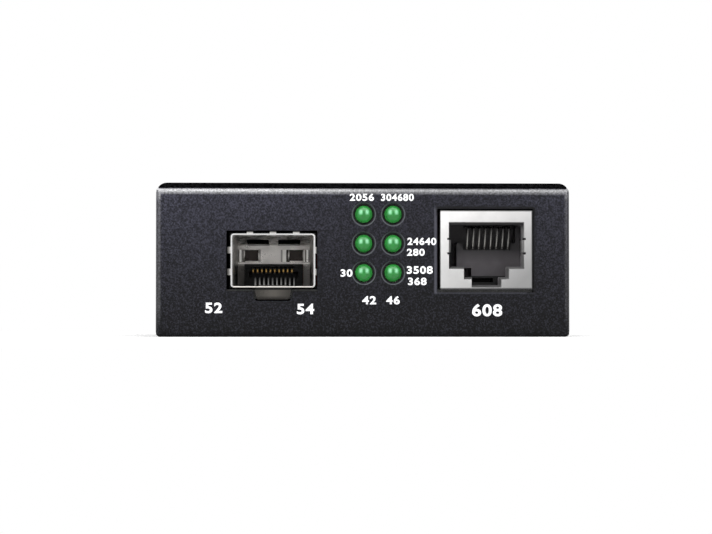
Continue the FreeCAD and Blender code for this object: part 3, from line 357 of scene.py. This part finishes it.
def shield_painted_shade(sheet, tone):
    """The jack's sheet gets painted shade: palest at its upper left and darker towards its right and foot,
    dark along its rolled rims, and dull inside the mouth.
    """
    across = sheet.span(sheet.x, shield_low.x, shield_high.x)
    down = sheet.span(sheet.z, shield_high.z, shield_low.z) ** 0.7
    # painted shade: darker to the right and downwards
    tone = sheet.mix(tone, colour(126, 126, 126), across * 0.5 + down * 0.6)
    inside = sheet.span(sheet.y, shield_low.y + 0.05 * MM, shield_low.y + 0.3 * MM)
    roof = sheet.span(sheet.z, shield_high.z - 3.4 * MM, shield_high.z - 2.4 * MM)
    walls = sheet.span(across, 0.5, 0.9, 0.75, 0.45)
    tone = sheet.mix(tone, colour(40, 39, 40), inside * (roof * 0.9 + (1 - roof) * walls))
    right_rim = sheet.span(sheet.x, shield_high.x - 0.26 * MM, shield_high.x - 0.14 * MM)
    top_rim = sheet.span(sheet.z, shield_high.z - 0.26 * MM, shield_high.z - 0.10 * MM)
    low_rim = sheet.span(sheet.z, shield_low.z + 0.32 * MM, shield_low.z + 0.14 * MM)
    return sheet.mix(tone, colour(34, 34, 36), sheet.largest(right_rim, top_rim, low_rim) * 0.9)


def cage_painted_light(sheet, tone):
    """The cage's sheet has painted shade beside the connector and in its rear pockets, and is a pale grey
    at the front edge of its mouth.
    """
    across = sheet.x - cage_middle_x
    deep = sheet.span(sheet.y, cage_low.y + 4 * MM, cage_low.y + 26 * MM)
    low = sheet.span(sheet.z, connector_top + 0.35 * MM, connector_top - 0.2 * MM)
    left = sheet.span(across, -1 * MM, 1 * MM, 0.95, 0.74)
    # painted shade beside the connector
    tone = sheet.mix(tone, colour(46, 45, 46), deep * low * left)
    tone = rear_wall_painted_light(sheet, tone, across)
    tone = roof_painted_light(sheet, tone, across)
    mouth = sheet.span(sheet.y, cage_low.y + 0.12 * MM, cage_low.y + 0.04 * MM)
    tone = sheet.mix(tone, colour(186, 186, 186), mouth)
    # painted shade in the rear pockets
    pocket = sheet.span(sheet.y, cage_rear_wall - 0.1 * MM, cage_rear_wall + 0.3 * MM)
    return sheet.mix(tone, colour(58, 52, 49), pocket)


def rear_wall_painted_light(sheet, tone, across):
    """The rear wall has painted shade towards its sides, painted highlights where springs stand, dark
    seams, and painted brown shade at its windows.
    """
    wall = sheet.span(sheet.y, cage_rear_wall - 0.6 * MM, cage_rear_wall - 0.4 * MM)
    tone = sheet.mix(tone, colour(112, 108, 105), wall * sheet.span(abs(across), 3.6 * MM, 6.6 * MM) * 0.55)
    level = wall * sheet.band(sheet.z, connector_top + 0.7 * MM, cage_high.z - 1.12 * MM, 0.06 * MM)
    tone = sheet.mix(tone, colour(255, 254, 250), level * sheet.strips(across, SPRING_HIGHLIGHT_STRIPS))
    tone = sheet.mix(tone, colour(60, 57, 56), level * sheet.strips(across, SEAM_STRIPS))
    return sheet.mix(tone, colour(52, 45, 41), level * sheet.strips(across, WINDOW_SHADE_STRIPS))


def roof_painted_light(sheet, tone, across):
    """The roof has painted reflections streaked from front to back, dark and bright, and painted black
    shade at the far ends of its slots.
    """
    roof = sheet.span(sheet.z, cage_high.z - 0.32 * MM, cage_high.z - 0.27 * MM)
    far = sheet.span(sheet.y, cage_rear_wall - 7.6 * MM, cage_rear_wall - 7.2 * MM)
    slots = sheet.band(abs(across), 0.85 * MM, 4.9 * MM, 0.1 * MM)
    tone = sheet.mix(tone, colour(14, 13, 13), far * slots * roof)
    reflection_streaks = sheet.noise(1.0 * MM, 3.0, (1.6, 8, 1), 0.65)
    open_roof = roof * (1 - far) * sheet.span(abs(across), 6.9 * MM, 6.3 * MM)
    tone = sheet.mix(tone, colour(54, 51, 50), open_roof * sheet.span(reflection_streaks, 0.52, 0.45) * 0.8)
    return sheet.mix(tone, colour(255, 254, 252), open_roof * sheet.span(reflection_streaks, 0.52, 0.56))


def tongue_painted_shade(sheet, tone):
    """The cage floor has painted shade behind its front edge; its latch tongue below the window is painted
    as a shaded warm grey, paler in the middle, darker at its foot and with a painted black shadow along its
    top.
    """
    below = sheet.span(sheet.z, cage_low.z + 0.1 * MM, cage_low.z - 0.1 * MM)
    behind = sheet.span(sheet.y, cage_low.y + 0.05 * MM, cage_low.y + 0.2 * MM)
    middle = sheet.span(abs(sheet.x - cage_middle_x), 0.4 * MM, 2.6 * MM, 1.0, 0.0)
    tongue = sheet.mix(colour(54, 52, 49), colour(78, 75, 71), middle)
    foot = sheet.span(sheet.z, cage_low.z - 1.4 * MM, cage_low.z - 1.8 * MM)
    tongue = sheet.mix(tongue, colour(40, 38, 36), foot)
    shadow = sheet.span(sheet.z, cage_low.z - 0.5 * MM, cage_low.z - 0.35 * MM)
    tongue = sheet.mix(tongue, colour(8, 8, 8), shadow)
    return sheet.mix(sheet.mix(tone, colour(44, 42, 41), behind), tongue, below)


def collar_painted_shade(sheet, tone):
    """The collar's fingers keep their plating where they show in the window and get painted shade behind
    the panel.
    """
    behind = sheet.span(sheet.y, panel_face + 0.5 * MM, panel_face + 0.9 * MM)
    return sheet.mix(tone, colour(16, 16, 16), behind)


def wire_painted_shade(sheet, tone):
    """The sprung wires get painted shade under the plug space's roof and along their sides, stay bright
    lower down, and are a painted grey shade at their tips.
    """
    fall = sheet.span(sheet.z, wires_high.z - 0.9 * MM, wires_low.z + 1.4 * MM)
    tip = sheet.span(sheet.z, wires_low.z + 0.6 * MM, wires_low.z + 0.4 * MM)
    side = abs(sheet.x.repeat(wires_low.x + 0.2 * MM, WIRE_PITCH))
    crown = sheet.span(side, 0.05 * MM, 0.17 * MM, 1.0, 0.15)
    return sheet.mix(sheet.mix(colour(12, 11, 11), tone, fall * crown), colour(74, 72, 70), tip)


def upper_contact_painted_shade(sheet, tone):
    """The upper row has painted shade above and below, so it is bright only in the middle of its height."""
    low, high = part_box("sfp_contacts_upper")
    fade = sheet.band(sheet.z, low.z + 0.5 * MM, high.z - 0.5 * MM, 0.3 * MM)
    return sheet.mix(colour(26, 19, 12), tone, fade)


def lower_contact_painted_shade(sheet, tone):
    """The lower row fades upwards into painted shade in the slot."""
    low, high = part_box("sfp_contacts_lower")
    return sheet.mix(tone, colour(14, 14, 14), sheet.span(sheet.z, low.z + 0.4 * MM, high.z))


# ---- mouldings, lens, board, ink ---------------------------------------------------------
def moulding(name, base, gloss, grain=0.25, painted_light=None):
    """Moulded plastic with a fine spark-eroded texture and faint flow clouds."""
    plastic = Finish(name)
    texture = plastic.noise(grain * MM, 2.0)
    flow = plastic.noise(4 * MM, 3.0)
    tone = plastic.mix(scaled(base, 0.85), scaled(base, 1.12), plastic.span(flow, 0.35, 0.65))
    # painted_light adds painted shade to the moulding where light can't reach
    if painted_light:
        tone = painted_light(plastic, tone)
    plastic.shade(Base_Color=tone, Roughness=plastic.span(texture, 0.3, 0.7, gloss - 0.06, gloss + 0.08),
                  Specular_IOR_Level=0.35)
    plastic.relief(texture, 0.02 * MM, 0.7)
    return plastic.material


def insert_painted_shade(plastic, tone):
    """The jack's block gets painted shade growing upwards to the wires, and painted black shade in the
    recess below the plug space.
    """
    upwards = plastic.span(plastic.z, wires_low.z - 2.2 * MM, wires_low.z)
    tone = plastic.mix(tone, colour(70, 68, 70), upwards)
    recess = plastic.span(plastic.z, LATCH_RECESS_TOP, LATCH_RECESS_TOP - 0.12 * MM)
    recess = recess * plastic.span(plastic.y, shield_low.y + 8 * MM, shield_low.y + 8.5 * MM)
    return plastic.mix(tone, colour(10, 10, 11), recess)


def lamp_lens(name):
    """Green tinted resin, painted paler towards the barrel as painted light, with painted highlights in its
    upper half either side of a thin darker line.
    """
    lens = Finish(name)
    side = abs(lens.x.repeat(lamp_middle.x, LAMP_PITCH))
    above = lens.z.repeat(lamp_middle.z, LAMP_PITCH)
    swirl = lens.noise(0.8 * MM, 1.0)
    green = colour(16, 112, 38)
    barrel = lens.span(lens.y, lamp_low.y + 0.45 * MM, lamp_low.y + 1.2 * MM)
    tone = lens.mix(scaled(green, 0.85), scaled(green, 1.15), lens.span(swirl, 0.3, 0.7))
    # painted light: the lens is paler towards its barrel
    tone = lens.mix(tone, colour(70, 148, 74), barrel * 0.75)
    upper = lens.band(above, 0.15 * MM, 0.5 * MM, 0.35 * MM)
    painted_highlight = lens.band(side, 0.45 * MM, 0.65 * MM, 0.3 * MM) * upper
    darker_line = lens.span(side, 0.05 * MM, 0.2 * MM, 1.0, 0.0) * upper
    # painted highlights either side of a thin darker line
    tone = lens.mix(tone, colour(124, 196, 148), painted_highlight * 0.85)
    tone = lens.mix(tone, colour(28, 92, 48), darker_line * 0.5)
    lens.shade(Base_Color=tone, Roughness=0.35, Specular_IOR_Level=0.2, Coat_Weight=0.5,
               Coat_Roughness=0.06, Coat_IOR=1.5)
    return lens.material


def board_finish(name):
    """Green solder mask with fine copper tracks showing through; the sawn edge is dark laminate, painted
    nearly black as painted shade.
    """
    board = Finish(name)
    mask = colour(16, 82, 46)
    track = board.node("ShaderNodeTexBrick", {"offset": 0.5},
                       {"Vector": board.spot, "Scale": 1 / (3.2 * MM), "Mortar Size": 0.06,
                        "Color1": (0, 0, 0, 1), "Color2": (0, 0, 0, 1), "Mortar": (1, 1, 1, 1)}, out="Fac")
    weave = board.noise(0.5 * MM, 1.0)
    surface = board.mix(mask, scaled(mask, 1.7), track)
    _, _, upright = board.axes(board.node("ShaderNodeNewGeometry", out="True Normal"))
    # the sawn edge: dark laminate, darkened further as painted shade
    sawn = board.span(abs(upright), 0.4, 0.6, 1.0, 0.0)
    board.shade(Base_Color=board.mix(surface, colour(18, 19, 17), sawn),
                Roughness=board.span(weave, 0.3, 0.7, 0.22, 0.34))
    board.relief(track * 0.7 + weave * 0.3, 0.03 * MM, 0.5)
    return board.material


def print_ink(name, base):
    """Screen-printed ink: nearly even, a little broken where the pimples stand through."""
    ink = Finish(name)
    grain = ink.noise(0.34 * MM, 1.5)
    ink.shade(Base_Color=ink.mix(scaled(base, 0.84), base, ink.span(grain, 0.3, 0.5)), Roughness=0.55)
    ink.relief(grain, 0.015 * MM, 0.5)
    return ink.material


# slot in the record: maker, then its values
FINISHES = {
    "base_paint": (powder_coat, colour(37, 37, 45), 0.44, True),
    # cover_paint: the cover's black paint, set darker than the panel's as painted shade for the cover's
    # front edge
    "cover_paint": (powder_coat, colour(9, 9, 10), 0.5),
    "black_screw": (plated_steel, colour(44, 44, 47), 0.38),
    "zinc_steel": (plated_steel, colour(200, 201, 198), 0.30),
    "board_green": (board_finish,),
    "plated_shield": (plated_steel, colour(222, 221, 220), 0.42, 0.6, shield_painted_shade),
    "plated_cage": (plated_steel, colour(240, 236, 232), 0.30, 0.7, cage_painted_light),
    "grey_moulding": (moulding, colour(112, 108, 112), 0.55, 0.2, insert_painted_shade),
    "black_moulding": (moulding, colour(26, 25, 27), 0.45),
    "white_moulding": (moulding, colour(228, 227, 222), 0.4),
    "red_moulding": (moulding, colour(158, 32, 30), 0.42),
    "gold_contact": (plated_steel, colour(226, 180, 92), 0.25),
    "tin_contact": (plated_steel, colour(214, 212, 208), 0.28),
    "green_lens": (lamp_lens,),
    "chip_epoxy": (moulding, colour(30, 30, 32), 0.55, 0.12),
    "ferrite": (moulding, colour(70, 70, 74), 0.6, 0.2),
    "capacitor_can": (plated_steel, colour(205, 206, 208), 0.25),
    "ceramic_chip": (moulding, colour(170, 140, 100), 0.4, 0.1),
}
# node with a version of its own: the finish's name, maker, then its values
OWN_FINISHES = {
    "sfp_cage_floor": ("cage_floor_plate", plated_steel, colour(222, 218, 212), 0.30, 0.8, tongue_painted_shade),
    "sfp_ground_collar": ("collar_spring", plated_steel, colour(190, 188, 184), 0.35, 0.7, collar_painted_shade),
    "rj45_contacts": ("jack_wire", plated_steel, colour(160, 158, 154), 0.25, 0.4, wire_painted_shade),
    "sfp_contacts_upper": ("gold_row", plated_steel, colour(232, 184, 96), 0.3, 0.5, upper_contact_painted_shade),
    "sfp_contacts_lower": ("tin_row", plated_steel, colour(206, 206, 205), 0.3, 0.5, lower_contact_painted_shade),
}


def dress_nodes():
    """Gives every CAD node the finish of its slot in the record, or its own version of it."""
    made = {}
    for row in frame["record"]["subparts"]:
        node = row["node"]
        slot = row["material_slot"]
        finish, maker, *values = OWN_FINISHES.get(node, (slot, *FINISHES[slot]))
        if finish not in made:
            made[finish] = maker(finish, *values)
        body = nodes[node]
        body.data.materials.clear()
        body.data.materials.append(made[finish])
    return made


# ---- smooth bends and rounded edges ------------------------------------------------------
EDGE_ROUNDING = {
    "base_chassis": 0.16, "top_cover": 0.12, "rj45_shield": 0.06, "sfp_cage_shell": 0.05,
    "sfp_cage_floor": 0.05, "rj45_insert": 0.06, "sfp_connector_body": 0.04, "dc_jack_body": 0.12,
    "dip_switch_body": 0.08, "dip_slider_1": 0.08, "dip_slider_2": 0.08, "cover_screws": 0.05,
    "rj45_contacts": 0.13,
}
SMOOTH_ONLY = ["capacitor_1", "capacitor_2", "crystal_can", "dc_jack_pin", "board_screws"]
CREASE = math.radians(38)
ROUNDED_FROM = math.radians(40)
WELD_REACH = 0.001 * MM


def crease_nodes():
    """Shades gentle turns as smooth and leaves turns sharper than the crease as edges."""
    group = bpy.data.node_groups.new("smooth_bends", "GeometryNodeTree")
    group.interface.new_socket("Geometry", in_out="INPUT", socket_type="NodeSocketGeometry")
    group.interface.new_socket("Geometry", in_out="OUTPUT", socket_type="NodeSocketGeometry")
    bends = NodeTree(group)
    mesh = bends.node("NodeGroupInput")
    smooth = bends.node("GeometryNodeSetShadeSmooth", {"domain": "FACE"},
                        {"Geometry": mesh, "Shade Smooth": True})
    turn = bends.node("GeometryNodeInputMeshEdgeAngle")
    sharp = bends.node("FunctionNodeCompare", {"data_type": "FLOAT", "operation": "GREATER_THAN"},
                       {"A": turn, "B": CREASE})
    creased = bends.node("GeometryNodeSetShadeSmooth", {"domain": "EDGE"},
                         {"Geometry": smooth, "Selection": sharp, "Shade Smooth": False})
    bends.node("NodeGroupOutput", None, {"Geometry": creased})
    return group


def round_edges():
    """Small rounds on the edges that catch the light, and smooth shading round the bends."""
    creases = crease_nodes()
    for name in [*EDGE_ROUNDING, *SMOOTH_ONLY]:
        body = nodes[name]
        weld = body.modifiers.new("weld", "WELD")
        weld.merge_threshold = WELD_REACH
        if name in EDGE_ROUNDING:
            bevel = body.modifiers.new("edge_round", "BEVEL")
            bevel.width = EDGE_ROUNDING[name] * MM
            bevel.segments = 2
            bevel.limit_method = "ANGLE"
            bevel.angle_limit = ROUNDED_FROM
        smooth = body.modifiers.new("smooth_bends", "NODES")
        smooth.node_group = creases
        steady = body.modifiers.new("steady_flats", "WEIGHTED_NORMAL")
        steady.keep_sharp = True


# ---- lamp lenses -------------------------------------------------------------------------
LAMPS = ["lamp_1", "lamp_2", "lamp_3", "lamp_4", "lamp_5", "lamp_6"]
LENS_AROUND = 64
LENS_DOME_STEPS = 14


def lens_mesh(name, low, high):
    """A turned lens: straight barrel with a half-round tip towards the front."""
    radius = (high.x - low.x) / 2
    centre_x = (low.x + high.x) / 2
    centre_z = (low.z + high.z) / 2
    profile = [(0.0, high.y), (radius, high.y)]
    for step in range(LENS_DOME_STEPS):
        angle = math.radians(90) * (1 - step / LENS_DOME_STEPS)
        profile.append((radius * math.sin(angle), low.y + radius * (1 - math.cos(angle))))
    points = []
    for away, y in profile[1:]:
        for step in range(LENS_AROUND):
            turn = 2 * math.pi * step / LENS_AROUND
            points.append((centre_x + away * math.cos(turn), y, centre_z + away * math.sin(turn)))
    points += [(centre_x, high.y, centre_z), (centre_x, low.y, centre_z)]
    back, tip = len(points) - 2, len(points) - 1
    rings = len(profile) - 1
    faces = []
    for step in range(LENS_AROUND):
        after = (step + 1) % LENS_AROUND
        faces.append((back, step, after))
        for ring in range(rings - 1):
            inner, outer = ring * LENS_AROUND, (ring + 1) * LENS_AROUND
            faces.append((inner + step, outer + step, outer + after, inner + after))
        last = (rings - 1) * LENS_AROUND
        faces.append((last + step, tip, last + after))
    mesh = bpy.data.meshes.new(name)
    mesh.from_pydata(points, [], faces)
    mesh.shade_smooth()
    mesh.set_sharp_from_angle(angle=CREASE)
    return mesh


def add_lenses(finish):
    for name in LAMPS:
        low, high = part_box(name)
        mesh = lens_mesh(name + "_lens", low, high)
        mesh.materials.append(finish)
        lens = bpy.data.objects.new(name + "_lens", mesh)
        bpy.context.scene.collection.objects.link(lens)
        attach(lens, HOUSING)
        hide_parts(name)


# ---- printed numbers ---------------------------------------------------------------------
PRINT_LIFT = 0.012 * MM
PRINT_WEIGHT = 0.03
PRINT_STRETCH = 1.18
PRINT_SPACING = 1.12
# name, figures, middle across and up, height, widest; in millimetres
FRONT_MARKS = [
    ("mark_lamps_left", "2056", -0.27, 23.56, 1.24, 4.15),
    ("mark_lamps_right", "304680", 5.75, 23.56, 1.24, 5.55),
    ("mark_row_two_first", "24640", 9.88, 16.12, 1.26, 4.9),
    ("mark_row_two_second", "280", 8.85, 14.27, 1.20, 3.05),
    ("mark_row_three_first", "3508", 9.52, 11.27, 1.32, 4.65),
    ("mark_row_three_second", "368", 9.10, 9.36, 1.30, 3.8),
    ("mark_row_three_left", "30", -2.86, 10.75, 1.26, 2.0),
    ("mark_column_left", "42", 0.96, 6.17, 1.40, 2.6),
    ("mark_column_right", "46", 4.98, 6.17, 1.40, 2.6),
    ("mark_cage_left", "52", -25.23, 4.87, 1.80, 3.1),
    ("mark_cage_right", "54", -9.77, 4.68, 1.80, 3.4),
    ("mark_jack", "608", 20.93, 4.49, 2.10, 5.1),
]
REAR_MARKS = [
    ("mark_switch_one", "1", -7.27, 20.0, 1.4, 0.7),
    ("mark_switch_two", "2", -4.73, 20.0, 1.4, 1.0),
]


def written_mesh(text, spacing):
    """The flat outline of a number set with a given spacing between its figures."""
    curve = bpy.data.curves.new("written", "FONT")
    curve.body = text
    curve.offset = PRINT_WEIGHT
    curve.space_character = spacing
    curve.resolution_u = 6
    holder = bpy.data.objects.new("written", curve)
    bpy.context.scene.collection.objects.link(holder)
    bpy.context.view_layer.update()
    mesh = bpy.data.meshes.new_from_object(holder)
    bpy.data.objects.remove(holder)
    bpy.data.curves.remove(curve)
    return mesh


def reach(mesh, axis):
    values = [vertex.co[axis] for vertex in mesh.vertices]
    return min(values), max(values)


def printed_number(name, text, x, z, tall, wide, rear, ink):
    """A flat printed number, centred at (x, z) on the front or rear panel, no wider than its room."""
    mesh = written_mesh(text, 1.0)
    figure_low, figure_high = reach(mesh, 1)
    scale = tall * MM / (figure_high - figure_low)
    if len(text) > 1:
        mesh = written_mesh(text, PRINT_SPACING)
    left, right = reach(mesh, 0)
    broad = min(wide * MM / (right - left), PRINT_STRETCH * scale)
    level = chassis_high.y + PRINT_LIFT if rear else panel_face - PRINT_LIFT
    side = -1 if rear else 1
    for vertex in mesh.vertices:
        across = (vertex.co.x - (left + right) / 2) * broad * side
        up = (vertex.co.y - (figure_low + figure_high) / 2) * scale
        vertex.co = Vector((x * MM + across, level, z * MM + up))
    mesh.name = name
    mesh.materials.clear()
    mesh.materials.append(ink)
    piece = bpy.data.objects.new(name, mesh)
    bpy.context.scene.collection.objects.link(piece)
    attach(piece, HOUSING)


def print_marks():
    ink = print_ink("white_ink", colour(238, 238, 240))
    for mark in FRONT_MARKS:
        printed_number(*mark, rear=False, ink=ink)
    for mark in REAR_MARKS:
        printed_number(*mark, rear=True, ink=ink)


# ---- studio ------------------------------------------------------------------------------
VIEW_DISTANCE = 355 * MM
VIEW_X = -14.0 * MM
VIEW_Z = 2.2 * MM
AIM_X = -1.26 * MM
AIM_Z = 11.77 * MM
VIEW_WIDTH = 120.16 * MM
SENSOR_WIDTH = 36.0
ROOM_LIGHT = 0.3
LAMP_AIM_Z = 13 * MM
# name, place in metres as (across, before the panel, up), size, brightness
STUDIO_LAMPS = [
    ("key_left", (-0.55, 0.75, 0.42), (0.80, 0.80), 1.9),
    ("fill_right", (0.55, 0.75, 0.42), (0.80, 0.80), 1.4),
    ("side_left", (-0.90, 0.30, 0.25), (0.5, 0.6), 0.6),
    ("overhead", (0.0, 0.22, 0.85), (1.5, 1.1), 3.2),
]
FLOOR_REACH = 3.0
FLOOR_DROP = 0.02 * MM
SHADOW_REACH = 0.10
WHITE_BEYOND = 0.22


def add_camera():
    camera = bpy.data.objects.new("camera", bpy.data.cameras.new("camera"))
    bpy.context.scene.collection.objects.link(camera)
    camera.location = (VIEW_X, panel_face - VIEW_DISTANCE, VIEW_Z)
    aim = Vector((AIM_X, panel_face, AIM_Z)) - camera.location
    camera.rotation_euler = aim.to_track_quat("-Z", "Y").to_euler()
    camera.data.sensor_width = SENSOR_WIDTH
    camera.data.lens = SENSOR_WIDTH * aim.length / VIEW_WIDTH
    camera.data.clip_start = 0.01
    camera.data.clip_end = 20.0
    bpy.context.scene.camera = camera


def add_lamp(name, place, size, strength):
    """A soft rectangular lamp turned to the front of the object; strength is the brightness of its face."""
    light = bpy.data.lights.new(name, "AREA")
    light.shape = "RECTANGLE"
    light.size, light.size_y = size
    light.energy = strength * math.pi * size[0] * size[1]
    lamp = bpy.data.objects.new(name, light)
    bpy.context.scene.collection.objects.link(lamp)
    lamp.location = place
    aim = Vector((0, panel_face, LAMP_AIM_Z))
    lamp.rotation_euler = (aim - Vector(place)).to_track_quat("-Z", "Z").to_euler()


def add_lights():
    for name, (x, before_panel, z), size, strength in STUDIO_LAMPS:
        add_lamp(name, (x, panel_face - before_panel, z), size, strength)


def add_world():
    """Pale surroundings: white to the camera, in reflections and through glass, dimmer as light."""
    world = bpy.data.worlds.new("studio")
    bpy.context.scene.world = world
    world.use_nodes = True
    room = NodeTree(world.node_tree)
    strength = room.largest(room.rays("Camera"), room.rays("Glossy"), room.rays("Transmission"), ROOM_LIGHT)
    background = room.tree.nodes["Background"]
    room.feed(background.inputs["Color"], (1, 1, 1, 1))
    room.feed(background.inputs["Strength"], strength)


def add_floor():
    """A wide pale floor that reads as white far off and keeps a soft shadow near the object."""
    mesh = bpy.data.meshes.new("floor")
    ends = [(-1, -1), (1, -1), (1, 1), (-1, 1)]
    corners = [(x * FLOOR_REACH, y * FLOOR_REACH, -FLOOR_DROP) for x, y in ends]
    mesh.from_pydata(corners, [], [(0, 1, 2, 3)])
    floor = bpy.data.objects.new("floor", mesh)
    bpy.context.scene.collection.objects.link(floor)
    paper = Finish("floor_paper")
    grain = paper.noise(2 * MM, 2.0)
    paper.shade(Base_Color=paper.mix(colour(228, 228, 228), colour(234, 234, 234), grain), Roughness=0.9,
                Specular_IOR_Level=0.1)
    glow = paper.node("ShaderNodeEmission", None, {"Color": (1, 1, 1, 1), "Strength": 1.0})
    away = paper.node("ShaderNodeVectorMath", {"operation": "LENGTH"}, {0: paper.spot}, out="Value")
    far = paper.rays("Camera") * paper.span(away, SHADOW_REACH, WHITE_BEYOND)
    surface = Signal(paper, paper.surface.outputs[0])
    mixed = paper.node("ShaderNodeMixShader", None, {0: far, 1: surface, 2: glow})
    paper.feed(paper.output.inputs["Surface"], mixed)
    mesh.materials.append(paper.material)


add_camera()
finishes = dress_nodes()
round_edges()
add_lenses(finishes["green_lens"])
print_marks()
add_world()
add_floor()
add_lights()
bpy.context.scene.view_settings.view_transform = "Standard"
